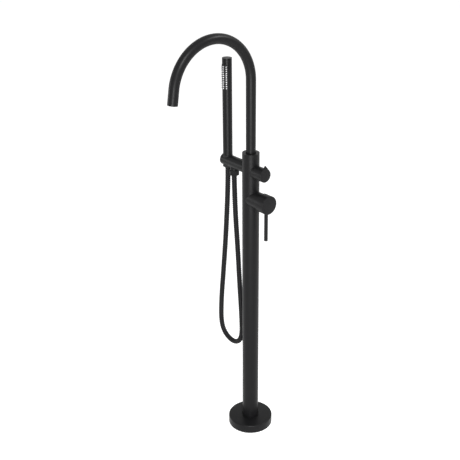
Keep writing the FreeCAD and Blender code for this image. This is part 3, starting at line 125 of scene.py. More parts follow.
def finish(name, colours, drift, roughness, patches, grain, relief, **settings):
    """A material for one real finish, its patterns on Object coordinates with sizes in metres.

    Its colour drifts between two hex colours, its roughness wanders between two values, and
    its grains are raised by the relief. Other settings go to the Principled shader's sockets.
    """
    material = bare_material(name)
    tree = material.node_tree
    where = add(tree, "ShaderNodeTexCoord").outputs["Object"]
    clouds = add(tree, "ShaderNodeTexNoise", {"Vector": where, "Scale": 1 / drift, "Detail": 3.0})
    wear = add(tree, "ShaderNodeTexNoise", {"Vector": where, "Scale": 1 / patches, "Detail": 2.0})
    grains = add(tree, "ShaderNodeTexNoise", {"Vector": where, "Scale": 1 / grain, "Detail": 2.0})
    tone = add(tree, "ShaderNodeMix", {
        "Factor": clouds.outputs["Fac"], "A": linear(colours[0]), "B": linear(colours[1]),
    }, data_type="RGBA")
    dullness = add(tree, "ShaderNodeMapRange", {
        "Value": wear.outputs["Fac"], "To Min": roughness[0], "To Max": roughness[1],
    })
    bump = add(tree, "ShaderNodeBump", {
        "Height": grains.outputs["Fac"], "Distance": relief, "Strength": 1.0,
    })
    shader = add(tree, "ShaderNodeBsdfPrincipled", {
        "Base Color": tone.outputs["Result"],
        "Roughness": dullness.outputs["Result"],
        "Normal": bump.outputs["Normal"],
        **{socket.replace("_", " "): setting for socket, setting in settings.items()},
    })
    add(tree, "ShaderNodeOutputMaterial", {"Surface": shader.outputs["BSDF"]})
    return material


# Extruded soft PVC, satin black: dull, with a soft line of light that the ribs break up.
HOSE_SHEATH = finish(
    "pvc_hose_sheath",
    colours=("#121213", "#18181a"), drift=0.03,
    roughness=(0.36, 0.46), patches=0.01,
    grain=0.0008, relief=0.00002,
    IOR=1.52, Specular_IOR_Level=0.09,
)


def new_tree(name, sizes):
    """A geometry tree with named number inputs and a material input."""
    tree = bpy.data.node_groups.new(name, "GeometryNodeTree")
    tree.interface.new_socket("Geometry", in_out="INPUT", socket_type="NodeSocketGeometry")
    for size in sizes:
        tree.interface.new_socket(size, in_out="INPUT", socket_type="NodeSocketFloat")
    tree.interface.new_socket("Material", in_out="INPUT", socket_type="NodeSocketMaterial")
    tree.interface.new_socket("Geometry", in_out="OUTPUT", socket_type="NodeSocketGeometry")
    return tree, add(tree, "NodeGroupInput").outputs


def close_tree(tree, geometry, given):
    """End a geometry tree in Realize Instances, smooth shading and Set Material."""
    real = add(tree, "GeometryNodeRealizeInstances", {"Geometry": geometry})
    smooth = add(tree, "GeometryNodeSetShadeSmooth", {"Geometry": real.outputs[0]})
    coated = add(tree, "GeometryNodeSetMaterial", {
        "Geometry": smooth.outputs[0], "Material": given["Material"],
    })
    add(tree, "NodeGroupOutput", {"Geometry": coated.outputs[0]})


def ribbed_hose_tree():
    """A round tube along a line, its radius rising and falling once for every rib."""
    tree, given = new_tree("ribbed_hose", ["Radius", "Rib Pitch", "Rib Depth"])
    pitch = given["Rib Pitch"]
    step = add(tree, "ShaderNodeMath", {0: pitch, 1: RINGS_PER_RIB}, operation="DIVIDE")
    line = add(tree, "GeometryNodeMeshToCurve", {"Mesh": given["Geometry"]})
    fine = add(tree, "GeometryNodeResampleCurve", {
        "Curve": line.outputs[0], "Length": step.outputs[0],
    }, mode="LENGTH")
    along = add(tree, "GeometryNodeSplineParameter").outputs["Length"]
    turns = add(tree, "ShaderNodeMath", {0: along, 1: pitch}, operation="DIVIDE")
    angle = add(tree, "ShaderNodeMath", {0: turns.outputs[0], 1: pi}, operation="MULTIPLY")
    wave = add(tree, "ShaderNodeMath", {0: angle.outputs[0]}, operation="SINE")
    crest = add(tree, "ShaderNodeMath", {0: wave.outputs[0]}, operation="ABSOLUTE")
    groove = add(tree, "ShaderNodeMath", {0: 1.0, 1: crest.outputs[0]}, operation="SUBTRACT")
    drop = add(tree, "ShaderNodeMath", {
        0: groove.outputs[0], 1: given["Rib Depth"],
    }, operation="MULTIPLY")
    radius = add(tree, "ShaderNodeMath", {
        0: given["Radius"], 1: drop.outputs[0],
    }, operation="SUBTRACT")
    ring = add(tree, "GeometryNodeCurvePrimitiveCircle", {"Resolution": HOSE_SIDES, "Radius": 1.0})
    tube = add(tree, "GeometryNodeCurveToMesh", {
        "Curve": fine.outputs[0], "Profile Curve": ring.outputs[0],
        "Scale": radius.outputs[0], "Fill Caps": True,
    })
    close_tree(tree, tube.outputs[0], given)
    return tree


def bake(piece):
    """Turn a piece with modifiers into a plain mesh."""
    evaluated = piece.evaluated_get(bpy.context.evaluated_depsgraph_get())
    mesh = bpy.data.meshes.new_from_object(evaluated)
    piece.modifiers.clear()
    piece.data = mesh
    return piece


def grow(name, base_mesh, tree, sizes, material):
    """A plain mesh piece made by a geometry tree from a base mesh."""
    piece = put(name, base_mesh)
    modifier = piece.modifiers.new("tree", "NODES")
    modifier.node_group = tree
    given = {**sizes, "Material": material}
    for socket in tree.interface.items_tree:
        if socket.in_out == "INPUT" and socket.name in given:
            modifier[socket.identifier] = given[socket.name]
    return bake(piece)


def hose_line():
    """The smooth centre line of the hose as a mesh, from its route as a NURBS spline."""
    curve = bpy.data.curves.new("hose_line", "CURVE")
    curve.dimensions = "3D"
    curve.resolution_u = 24
    spline = curve.splines.new("NURBS")
    spline.points.add(len(HOSE_ROUTE) - 1)
    for point, (x, z) in zip(spline.points, HOSE_ROUTE):
        point.co = (x, 0, z, 1)
    spline.order_u = 3
    spline.use_endpoint_u = True
    holder = put("hose_line", curve)
    depsgraph = bpy.context.evaluated_depsgraph_get()
    line = bpy.data.meshes.new_from_object(holder.evaluated_get(depsgraph))
    bpy.data.objects.remove(holder)
    return line


hose_centre = hose_line()
hose = grow("shower_hose_ribbed", hose_centre, ribbed_hose_tree(), {
    "Radius": HOSE_DIAMETER / 2, "Rib Pitch": RIB_PITCH, "Rib Depth": RIB_DEPTH,
}, HOSE_SHEATH)
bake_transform(hose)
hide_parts("shower_hose")

# ---------------------------------------------------------------- column
# The column: a 45 mm steel tube, drawn and powder coated matte black. Its mouth is closed
# by a coated ring round the spout; the hidden foot stands in the floor flange's collar.
COLUMN_RADIUS = 0.0225
COLUMN_BORE = 0.021
COLUMN_FOOT = 0.004
COLUMN_TOP = 0.8324
COLUMN_RINGS = [0.675, 0.745, 0.810]
COLUMN_EDGE = 0.0005
MIXER_HEIGHT = 0.7085
DIVERTER_HEIGHT = 0.7847
BAR_HEIGHT = 0.7871
SIDE_HOLES = [
    ("+X", MIXER_HEIGHT, 0.0195),
    ("+X", DIVERTER_HEIGHT, 0.0137),
    ("-X", BAR_HEIGHT, 0.0076),
]
SIDE_HOLE_SPAN = (0.002, 0.03)
RING_RADIUS = COLUMN_BORE - 0.0001
RING_BORE = 0.0136
RING_FOOT = 0.8284
RING_EDGE = 0.0004
AXES = {
    "+Z": Matrix.Identity(4),
    "-Z": Matrix.Rotation(pi, 4, "X"),
    "+X": Matrix.Rotation(pi / 2, 4, "Y"),
    "-X": Matrix.Rotation(-pi / 2, 4, "Y"),
    "+Y": Matrix.Rotation(-pi / 2, 4, "X"),
}

# Black polyester powder, baked on: dull satin, with the faint pebble that it flows to.
BLACK_COAT = finish(
    "matte_powder_coat",
    colours=("#101011", "#141415"), drift=0.02,
    roughness=(0.35, 0.41), patches=0.015,
    grain=0.0009, relief=0.000012,
    IOR=1.5, Specular_IOR_Level=0.13,
)


def join_rings(shape, pairs, sides):
    """Faces between pairs of rings, each ring of that many corners or of a single point."""
    for lower, upper in pairs:
        for n in range(sides):
            corners = [lower[n % len(lower)], lower[(n + 1) % len(lower)],
                       upper[(n + 1) % len(upper)], upper[n % len(upper)]]
            distinct = list(dict.fromkeys(corners))
            if len(distinct) > 2:
                shape.faces.new(distinct)


def close_shape(name, shape):
    """A closed shape as an object of the scene, with its faces pointing outwards."""
    bmesh.ops.recalc_face_normals(shape, faces=shape.faces)
    mesh = bpy.data.meshes.new(name)
    shape.to_mesh(mesh)
    shape.free()
    return put(name, mesh)


def turned(name, outline, centre=(0, 0, 0), toward="+Z", sides=96):
    """A piece turned on a lathe: a closed outline of (radius, distance) about an axis."""
    shape = bmesh.new()
    rings = []
    for radius, distance in outline:
        count = sides if radius > 0 else 1
        rings.append([
            shape.verts.new((radius * cos(tau * n / count), radius * sin(tau * n / count), distance))
            for n in range(count)
        ])
    join_rings(shape, zip(rings, rings[1:] + rings[:1]), sides)
    piece = close_shape(name, shape)
    piece.data.transform(Matrix.Translation(Vector(centre)) @ AXES[toward])
    return piece


def rod(radius, start, end, centre=(0, 0, 0), toward="+Z", sides=96):
    """A plain cylinder between two distances along an axis, for cutting."""
    outline = [(0, start), (radius, start), (radius, end), (0, end)]
    return turned("cutter", outline, centre, toward, sides)


def carve(piece, tools, operation="DIFFERENCE"):
    """Cut tools out of a piece, or join or intersect them, and remove the tools."""
    for tool in tools:
        modifier = piece.modifiers.new("carve", "BOOLEAN")
        modifier.operation = operation
        modifier.solver = "EXACT"
        modifier.object = tool
    bake(piece)
    for tool in tools:
        bpy.data.objects.remove(tool)


def ease(piece, edge):
    """Round a piece's sharp edges by a small radius and shade it smooth."""
    bevel = piece.modifiers.new("edges", "BEVEL")
    bevel.width = edge
    bevel.segments = 3
    bevel.limit_method = "ANGLE"
    bevel.angle_limit = radians(28)
    bevel.harden_normals = True
    piece.data.shade_smooth()
    return bake(piece)


def seat(piece, node, body, material):
    """Put a modelled piece in the place of its node: finish, body and slot."""
    piece.data.materials.clear()
    piece.data.materials.append(material)
    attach(piece, body)
    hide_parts(node)


column = turned("column_coated", [
    (COLUMN_BORE, COLUMN_FOOT),
    (COLUMN_RADIUS, COLUMN_FOOT),
    *[(COLUMN_RADIUS, height) for height in COLUMN_RINGS],
    (COLUMN_RADIUS, COLUMN_TOP),
    (COLUMN_BORE, COLUMN_TOP),
    *[(COLUMN_BORE, height) for height in reversed(COLUMN_RINGS)],
])
carve(column, [
    rod(radius, *SIDE_HOLE_SPAN, (0, 0, height), toward)
    for toward, height, radius in SIDE_HOLES
])
seat(ease(column, COLUMN_EDGE), "column_tube", "column", BLACK_COAT)

mouth_ring = turned("column_mouth_ring", [
    (RING_BORE, RING_FOOT),
    (RING_RADIUS, RING_FOOT),
    (RING_RADIUS, COLUMN_TOP),
    (RING_BORE, COLUMN_TOP),
])
seat(ease(mouth_ring, RING_EDGE), "column_top_ring", "column", BLACK_COAT)

# ---------------------------------------------------------------- floor base
# The round cap that hides the floor bolts: a spun steel dish, powder coated, slid down the
# column. Under it the zinc-plated floor flange grips the column's foot with set screws.
BASE_RADIUS = 0.0623
BASE_HEIGHT = 0.0242
BASE_WALL = 0.0025
BASE_HOLE = COLUMN_RADIUS + 0.0009
BASE_ROUNDING = 0.0025
BASE_EDGE = 0.0006


def rounded_rim(radius, end, rounding, steps=6):
    """Outline points that round the outer rim of a turned piece at its far end."""
    turns = [pi / 2 * step / steps for step in range(steps + 1)]
    return [(radius - rounding * (1 - cos(turn)), end - rounding * (1 - sin(turn))) for turn in turns]


base = turned("base_cap_coated", [
    (BASE_RADIUS, 0),
    *rounded_rim(BASE_RADIUS, BASE_HEIGHT, BASE_ROUNDING),
    (BASE_HOLE, BASE_HEIGHT),
    (BASE_HOLE, BASE_HEIGHT - BASE_WALL),
    (BASE_RADIUS - BASE_WALL, BASE_HEIGHT - BASE_WALL),
    (BASE_RADIUS - BASE_WALL, 0),
], sides=144)
seat(ease(base, BASE_EDGE), "base_cover", "column", BLACK_COAT)

# ---------------------------------------------------------------- spout
# The swan neck: one inch tube bent in a wide arc, coated all over. It turns in the column's
# mouth on a brass foot; the aerator sits just inside its open end.
SPOUT_RADIUS = 0.0127
SPOUT_WALL = 0.0015
SPOUT_SIDES = 64
SPOUT_FOOT = 0.8144
SPOUT_STRAIGHT = COLUMN_TOP + 0.02
SPOUT_EDGE = 0.0004
ARC_HEIGHT = 1.0204
ARC_RADIUS = 0.1172
ARC_ANGLE = radians(171.4)
ARC_STEPS = 72
OUTLET_LENGTH = 0.0362
OUTLET_RIM = 0.004


def spout_stations():
    """Centre points of the neck with their directions, from the foot to the mouth."""
    up = Vector((0, 0, 1))
    stations = [(Vector((0, 0, SPOUT_FOOT)), up), (Vector((0, 0, SPOUT_STRAIGHT)), up)]
    for step in range(ARC_STEPS + 1):
        turn = ARC_ANGLE * step / ARC_STEPS
        centre = Vector((0, -ARC_RADIUS * (1 - cos(turn)), ARC_HEIGHT + ARC_RADIUS * sin(turn)))
        stations.append((centre, Vector((0, -sin(turn), cos(turn)))))
    last, onward = stations[-1]
    for length in (OUTLET_LENGTH - OUTLET_RIM, OUTLET_LENGTH):
        stations.append((last + onward * length, onward))
    return stations


def spout_neck(stations):
    """The bent tube with its open bore, along stations in the plane of the arc."""
    shape = bmesh.new()
    side = Vector((1, 0, 0))
    rings = []
    for reach, line in ((SPOUT_RADIUS, stations), (SPOUT_RADIUS - SPOUT_WALL, stations[::-1])):
        for centre, onward in line:
            rise = onward.cross(side)
            rings.append([
                shape.verts.new(centre + (side * cos(turn) + rise * sin(turn)) * reach)
                for turn in (tau * n / SPOUT_SIDES for n in range(SPOUT_SIDES))
            ])
    join_rings(shape, zip(rings, rings[1:] + rings[:1]), SPOUT_SIDES)
    return close_shape("spout_neck_coated", shape)


neck = spout_neck(spout_stations())
seat(ease(neck, SPOUT_EDGE), "spout_tube", "spout", BLACK_COAT)

# ---------------------------------------------------------------- diverter
# The diverter: a fixed coated collar on the column and a cup-shaped brass knob, whose
# pointed lobe shows whether the water goes to the spout or to the hand shower.
DIVERTER_CENTRE = (0, 0, DIVERTER_HEIGHT)
DIVERTER_RADIUS = 0.01765
DIVERTER_BORE = DIVERTER_RADIUS - 0.0013
DIVERTER_SEAM = 0.028
DIVERTER_FRONT = 0.0567
BACK_START = 0.001
COLLAR_NECK = 0.00825
COLLAR_FLOOR = DIVERTER_SEAM - 0.0015
COLLAR_EDGE = 0.0002
SEAM_GAP = 0.0004
KNOB_HUB = 0.008
KNOB_HUB_BACK = 0.036
KNOB_FACE_BACK = DIVERTER_FRONT - 0.0032
KNOB_EDGE = 0.0004
FACE_ROUNDING = 0.0009
SPINDLE_HOLE = 0.00405
SPINDLE_HOLE_END = 0.051
KNOB_SCREW_PLACE = (0.041, 0, DIVERTER_HEIGHT)
KNOB_SCREW_BORE = 0.002
KNOB_SCREW_SPAN = (0.003, 0.02)
LOBE_SINK = 0.0001
LOBE_HEIGHT = 0.0268
LOBE_TIP = 0.0014
LOBE_THICKNESS = 0.0026


def meet_column(piece):
    """Shape the back edge of a piece on the X axis to the round of the column."""
    for vertex in piece.data.vertices:
        if abs(vertex.co.x) < 2 * BACK_START:
            side = 1 if vertex.co.x > 0 else -1
            vertex.co.x = side * sqrt(max(COLUMN_RADIUS ** 2 - vertex.co.y ** 2, 0))


collar = turned("diverter_collar", [
    (DIVERTER_BORE, BACK_START),
    (DIVERTER_RADIUS, BACK_START),
    (DIVERTER_RADIUS, DIVERTER_SEAM),
    (COLLAR_NECK, DIVERTER_SEAM),
    (COLLAR_NECK, COLLAR_FLOOR),
    (DIVERTER_BORE, COLLAR_FLOOR),
], DIVERTER_CENTRE, "+X")
meet_column(collar)
seat(ease(collar, COLLAR_EDGE), "diverter_sleeve", "column", BLACK_COAT)


def pointed_lobe():
    """The lobe's plate: straight flanks from the knob's round to a narrow tip."""
    touch = DIVERTER_RADIUS - LOBE_SINK
    across = touch * sqrt(1 - (touch / LOBE_HEIGHT) ** 2)
    rise = touch ** 2 / LOBE_HEIGHT
    corners = [
        (-across, rise), (across, rise), (LOBE_TIP / 2, LOBE_HEIGHT), (-LOBE_TIP / 2, LOBE_HEIGHT),
    ]
    shape = bmesh.new()
    plates = [
        [shape.verts.new((x, y, DIVERTER_HEIGHT + z)) for y, z in corners]
        for x in (DIVERTER_FRONT - LOBE_THICKNESS, DIVERTER_FRONT)
    ]
    for plate in plates:
        shape.faces.new(plate)
    join_rings(shape, [plates], len(corners))
    return close_shape("lobe", shape)


knob = turned("diverter_knob_coated", [
    (DIVERTER_BORE, DIVERTER_SEAM + SEAM_GAP),
    (DIVERTER_RADIUS, DIVERTER_SEAM + SEAM_GAP),
    *rounded_rim(DIVERTER_RADIUS, DIVERTER_FRONT, FACE_ROUNDING),
    (0, DIVERTER_FRONT),
    (0, SPINDLE_HOLE_END),
    (SPINDLE_HOLE, SPINDLE_HOLE_END),
    (SPINDLE_HOLE, KNOB_HUB_BACK),
    (KNOB_HUB, KNOB_HUB_BACK),
    (KNOB_HUB, KNOB_FACE_BACK),
    (DIVERTER_BORE, KNOB_FACE_BACK),
], DIVERTER_CENTRE, "+X")
carve(knob, [pointed_lobe()], "UNION")
carve(knob, [rod(KNOB_SCREW_BORE, *KNOB_SCREW_SPAN, KNOB_SCREW_PLACE, "-Z", sides=32)])
seat(ease(knob, KNOB_EDGE), "diverter_knob", "diverter", BLACK_COAT)

# ---------------------------------------------------------------- mixer
# The mixer: a fixed coated sleeve with a ball nose, and over the nose a heavy brass handle
# that turns for warmth and tips on a hidden pin for flow, moved by the slim lever below.
MIXER_CENTRE = (0, 0, MIXER_HEIGHT)
MIXER_SIDES = 120
MIXER_PIVOT = 0.046
SLEEVE_RADIUS = 0.0224
SLEEVE_BORE = SLEEVE_RADIUS - 0.0011
SLEEVE_BACK = 0.0002
SLEEVE_EDGE = 0.0002
NOSE_LENGTH = 0.0058
NOSE_STEPS = 6
HANDLE_RADIUS = 0.0249
HANDLE_FRONT = 0.0721
HANDLE_BORE = HANDLE_RADIUS - 0.003
HANDLE_EDGE = 0.0004
SKIRT_BORE = HANDLE_RADIUS - 0.001
HUB_RADIUS = 0.0105
HUB_BACK = MIXER_PIVOT + 0.0112
FACE_BACK = HANDLE_FRONT - 0.0045
STEM_HOLE = 0.0081
STEM_HOLE_SPAN = (HUB_BACK - 0.001, HUB_BACK + 0.0095)
LEVER_PLACE = 0.0603
LEVER_RADIUS = 0.005
LEVER_BOTTOM = 0.6058
LEVER_RECESS = 0.0006
LEVER_TOP = MIXER_HEIGHT - HANDLE_RADIUS + LEVER_RECESS
LEVER_EDGE = 0.0007
SPIGOT_RADIUS = 0.0025
SPIGOT_LENGTH = 0.016
SCREW_BORE = 0.0025
BORE_START = 0.004
BORE_END = 0.03
FIT = 0.00005


def nose(radius):
    """Points of the ball nose about the pivot for one radius, going forward."""
    end = asin(NOSE_LENGTH / radius)
    turns = [end * step / NOSE_STEPS for step in range(NOSE_STEPS + 1)]
    return [(radius * cos(turn), MIXER_PIVOT + radius * sin(turn)) for turn in turns]


sleeve = turned("mixer_sleeve_coated", [
    (SLEEVE_BORE, SLEEVE_BACK),
    (SLEEVE_RADIUS, SLEEVE_BACK),
    *nose(SLEEVE_RADIUS),
    *reversed(nose(SLEEVE_BORE)),
], MIXER_CENTRE, "+X", sides=MIXER_SIDES)
meet_column(sleeve)
seat(ease(sleeve, SLEEVE_EDGE), "mixer_sleeve", "column", BLACK_COAT)

handle = turned("mixer_handle_coated", [
    (SKIRT_BORE, MIXER_PIVOT),
    (HANDLE_RADIUS, MIXER_PIVOT),
    *rounded_rim(HANDLE_RADIUS, HANDLE_FRONT, FACE_ROUNDING),
    (0, HANDLE_FRONT),
    (0, HUB_BACK),
    (HUB_RADIUS, HUB_BACK),
    (HUB_RADIUS, FACE_BACK),
    (HANDLE_BORE, FACE_BACK),
    (HANDLE_BORE, HUB_BACK),
    (SKIRT_BORE, HUB_BACK),
], MIXER_CENTRE, "+X", sides=MIXER_SIDES)
stem_hole = rod(STEM_HOLE / sqrt(2), *STEM_HOLE_SPAN, MIXER_CENTRE, "+X", sides=4)
from_centre = Matrix.Translation(MIXER_CENTRE)
stem_hole.data.transform(from_centre @ Matrix.Rotation(pi / 4, 4, "X") @ from_centre.inverted())
side_bores = (LEVER_PLACE, 0, MIXER_HEIGHT)
carve(handle, [
    stem_hole,
    rod(SPIGOT_RADIUS + FIT, BORE_START, BORE_END, side_bores, "-Z", sides=32),
    rod(LEVER_RADIUS + FIT, HANDLE_RADIUS - LEVER_RECESS, BORE_END, side_bores, "-Z", sides=64),
    rod(SCREW_BORE, BORE_START, BORE_END, side_bores, "+Y", sides=48),
])
seat(ease(handle, HANDLE_EDGE), "mixer_handle", "lever", BLACK_COAT)

lever = turned("lever_rod_coated", [
    (0, LEVER_BOTTOM),
    (LEVER_RADIUS, LEVER_BOTTOM),
    (LEVER_RADIUS, LEVER_TOP),
    (SPIGOT_RADIUS, LEVER_TOP),
    (SPIGOT_RADIUS, LEVER_TOP + SPIGOT_LENGTH),
    (0, LEVER_TOP + SPIGOT_LENGTH),
], (LEVER_PLACE, 0, 0), sides=48)
seat(ease(lever, LEVER_EDGE), "lever_pin", "lever", BLACK_COAT)

# ---------------------------------------------------------------- holder bar
# The bar that holds the hand shower: solid brass, drilled for the water and coated. A
# moulded liner in its vertical bore takes the stick; the hose's hexagon nut hangs below.
BAR_RADIUS = 0.0157
BAR_RING = 0.050
BAR_END = 0.1066
BAR_EDGE = 0.0006
SOCKET_SPAN = (0.76, 0.82)
STUD_BORE = 0.00705
STUD_SPAN = (0, 0.032)
STICK_PLACE = (-0.0923, 0, 0)
SOCKET_RADIUS = 0.01305
SOCKET_BORE = 0.01235
SOCKET_FOOT = BAR_HEIGHT - BAR_RADIUS - 0.0016
SOCKET_TOP = BAR_HEIGHT + BAR_RADIUS
SOCKET_EDGE = 0.00025
OUTLET_PLACE = (-0.0665, 0, 0)
OUTLET_BORE = 0.01155
OUTLET_SPAN = (0.76, BAR_HEIGHT - 0.0095)
NUT_FOOT = 0.7525
NUT_TOP = 0.7675
NUT_FLATS = 0.024
NUT_CORNER = NUT_FLATS / 2 / cos(radians(30))
NUT_MOUTH = HOSE_DIAMETER / 2 + FIT
NUT_FLOOR = 0.005
NUT_FOOT_CHAMFER = 0.0012
NUT_TOP_CHAMFER = 0.0006
NUT_EDGE = 0.0002
THREAD_RADIUS = 0.01035

bar = turned("holder_bar_coated", [
    (0, BACK_START),
    (BAR_RADIUS, BACK_START),
    (BAR_RADIUS, BAR_RING),
    (BAR_RADIUS, BAR_END),
    (0, BAR_END),
], (0, 0, BAR_HEIGHT), "-X")
meet_column(bar)
carve(bar, [
    rod(SOCKET_RADIUS + FIT, *SOCKET_SPAN, STICK_PLACE),
    rod(OUTLET_BORE, *OUTLET_SPAN, OUTLET_PLACE),
    rod(STUD_BORE, *STUD_SPAN, (0, 0, BAR_HEIGHT), "-X", sides=64),
])
seat(ease(bar, BAR_EDGE), "holder_bar", "column", BLACK_COAT)

# Black nylon, injection moulded in an etched tool: flat, dull, slightly greyer than the coat.
BLACK_NYLON = finish(
    "moulded_black_nylon",
    colours=("#1f1f20", "#262627"), drift=0.01,
    roughness=(0.50, 0.60), patches=0.006,
    grain=0.0006, relief=0.00002,
    IOR=1.53, Specular_IOR_Level=0.12,
)
liner = turned("holder_liner", [
    (SOCKET_BORE, SOCKET_FOOT),
    (SOCKET_RADIUS, SOCKET_FOOT),
    (SOCKET_RADIUS, SOCKET_TOP),
    (SOCKET_BORE, SOCKET_TOP),
], STICK_PLACE)
seat(ease(liner, SOCKET_EDGE), "holder_socket", "column", BLACK_NYLON)

hexagon = rod(NUT_CORNER, NUT_FOOT, NUT_TOP, sides=6)
hexagon.data.transform(Matrix.Translation(OUTLET_PLACE) @ Matrix.Rotation(pi / 6, 4, "Z"))
hose_nut = turned("hose_nut_coated", [
    (NUT_MOUTH, NUT_FOOT),
    (NUT_CORNER - 2 * NUT_FOOT_CHAMFER, NUT_FOOT),
    (NUT_CORNER, NUT_FOOT + NUT_FOOT_CHAMFER),
    (NUT_CORNER, NUT_TOP - NUT_TOP_CHAMFER),
    (NUT_CORNER - 2 * NUT_TOP_CHAMFER, NUT_TOP),
    (THREAD_RADIUS, NUT_TOP),
    (THREAD_RADIUS, NUT_FOOT + NUT_FLOOR),
    (NUT_MOUTH, NUT_FOOT + NUT_FLOOR),
], OUTLET_PLACE)
carve(hose_nut, [hexagon], "INTERSECT")
seat(ease(hose_nut, NUT_EDGE), "hose_outlet_nut", "column", BLACK_COAT)

# ---------------------------------------------------------------- hand shower
# The stick: a 25 mm brass tube, coated, closed by a flush disc. A curved plate in its wall
# carries three columns of soft silicone nozzles; the tapered hose nut stands in the holder.
STICK_RADIUS = 0.0126
STICK_WALL = 0.0015
STICK_BORE = STICK_RADIUS - STICK_WALL
STICK_FOOT = 0.80215
STICK_TOP = 1.05875
STICK_BEVEL = 0.0012
STICK_EDGE = 0.0003
CAP_FOOT = STICK_TOP - 0.004
CAP_EDGE = 0.0002
SPRAY_FOOT = 0.979
SPRAY_TOP = SPRAY_FOOT + 0.0635
SPRAY_ANGLE = radians(106)
SPRAY_TURN = radians(7)
STICK_RINGS = [SPRAY_FOOT - 0.01, SPRAY_TOP + 0.005]
WINDOW_EXTRA = 0.002
PLATE_OUTER = STICK_RADIUS + 0.0007
PLATE_INNER = PLATE_OUTER - 0.0022
PLATE_ANGLE = SPRAY_ANGLE - radians(1)
PLATE_GAP = 0.0001
PLATE_EDGE = 0.0004
NOZZLE_ROWS = 11
NOZZLE_FIRST = 0.9825
NOZZLE_PITCH = 0.00555
NOZZLE_COLUMNS = [radians(-36), 0, radians(36)]
NOZZLE_ROOT = PLATE_INNER - 0.0007
NOZZLE_REACH = 0.0156
NOZZLE_ROOT_RADIUS = 0.0020
NOZZLE_TIP_RADIUS = 0.0015
NOZZLE_SIDES = 20
CONE_FOOT = 0.7665
CONE_NECK = 0.0085
CONE_NECK_END = CONE_FOOT + 0.0006
CONE_SHOULDER = 0.0120
CONE_SHOULDER_START = CONE_FOOT + 0.0056
CONE_EDGE = 0.0003


def curved_strip(name, inner, outer, low, high, angle, steps=36):
    """A strip of a tube's wall, centred on the side that faces the bath."""
    shape = bmesh.new()
    rings = []
    for step in range(steps + 1):
        turn = SPRAY_TURN - pi / 2 - angle / 2 + angle * step / steps
        rings.append([
            shape.verts.new((STICK_PLACE[0] + reach * cos(turn), reach * sin(turn), height))
            for reach, height in ((inner, low), (outer, low), (outer, high), (inner, high))
        ])
    join_rings(shape, zip(rings, rings[1:]), 4)
    for end in (rings[0], rings[-1]):
        shape.faces.new(end)
    return close_shape(name, shape)


stick_tube = turned("stick_coated", [
    (STICK_BORE, STICK_FOOT),
    (STICK_RADIUS - STICK_BEVEL, STICK_FOOT),
    (STICK_RADIUS, STICK_FOOT + STICK_BEVEL),
    *[(STICK_RADIUS, height) for height in STICK_RINGS],
    (STICK_RADIUS, STICK_TOP),
    (STICK_BORE, STICK_TOP),
    *[(STICK_BORE, height) for height in reversed(STICK_RINGS)],
], STICK_PLACE)
carve(stick_tube, [curved_strip("window", STICK_RADIUS - 2 * STICK_WALL, STICK_RADIUS + WINDOW_EXTRA,
                                SPRAY_FOOT, SPRAY_TOP, SPRAY_ANGLE)])
seat(ease(stick_tube, STICK_EDGE), "handset_body", "hand_shower", BLACK_COAT)

cap = turned("stick_cap_coated", [
    (0, CAP_FOOT),
    (STICK_BORE - FIT, CAP_FOOT),
    (STICK_BORE - FIT, STICK_TOP),
    (0, STICK_TOP),
], STICK_PLACE)
seat(ease(cap, CAP_EDGE), "handset_top_cap", "hand_shower", BLACK_COAT)

plate = curved_strip("spray_plate_moulded", PLATE_INNER, PLATE_OUTER,
                     SPRAY_FOOT + PLATE_GAP, SPRAY_TOP - PLATE_GAP, PLATE_ANGLE)
seat(ease(plate, PLATE_EDGE), "spray_plate", "hand_shower", BLACK_NYLON)

# Grey silicone rubber, moulded: pale, dull and even.
GREY_SILICONE = finish(
    "grey_silicone",
    colours=("#bebebf", "#cbcbcc"), drift=0.004,
    roughness=(0.45, 0.55), patches=0.003,
    grain=0.0005, relief=0.00001,
    IOR=1.41, Specular_IOR_Level=0.3,
)


def nozzle_tree():
    """One tapered nozzle on every point of the base mesh, turned the way that it points."""
    tree, given = new_tree("spray_nozzles", ["Root Radius", "Tip Radius", "Height"])
    outward = add(tree, "GeometryNodeInputNamedAttribute", {
        "Name": "outward",
    }, data_type="FLOAT_VECTOR")
    taper = add(tree, "GeometryNodeMeshCone", {
        "Vertices": NOZZLE_SIDES, "Depth": given["Height"],
        "Radius Top": given["Tip Radius"], "Radius Bottom": given["Root Radius"],
    })
    facing = add(tree, "FunctionNodeAlignRotationToVector", {
        "Vector": outward.outputs["Attribute"],
    }, axis="Z")
    nozzles = add(tree, "GeometryNodeInstanceOnPoints", {
        "Points": given["Geometry"], "Instance": taper.outputs["Mesh"], "Rotation": facing.outputs[0],
    })
    close_tree(tree, nozzles.outputs[0], given)
    return tree


def nozzle_points():
    """The nozzles' roots on the mat, each with the direction that its nozzle points in."""
    mesh = bpy.data.meshes.new("nozzle_points")
    roots = []
    outwards = []
    for row in range(NOZZLE_ROWS):
        height = Vector((0, 0, NOZZLE_FIRST + row * NOZZLE_PITCH))
        for turn in NOZZLE_COLUMNS:
            outward = Vector((sin(SPRAY_TURN + turn), -cos(SPRAY_TURN + turn), 0))
            outwards.extend(outward)
            roots.append(Vector(STICK_PLACE) + outward * NOZZLE_ROOT + height)
    mesh.from_pydata(roots, [], [])
    mesh.attributes.new("outward", "FLOAT_VECTOR", "POINT").data.foreach_set("vector", outwards)
    return mesh


nozzles = grow("spray_nozzles", nozzle_points(), nozzle_tree(), {
    "Root Radius": NOZZLE_ROOT_RADIUS, "Tip Radius": NOZZLE_TIP_RADIUS,
    "Height": NOZZLE_REACH - NOZZLE_ROOT,
}, GREY_SILICONE)
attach(nozzles, "hand_shower")
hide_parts("nozzle_mat")

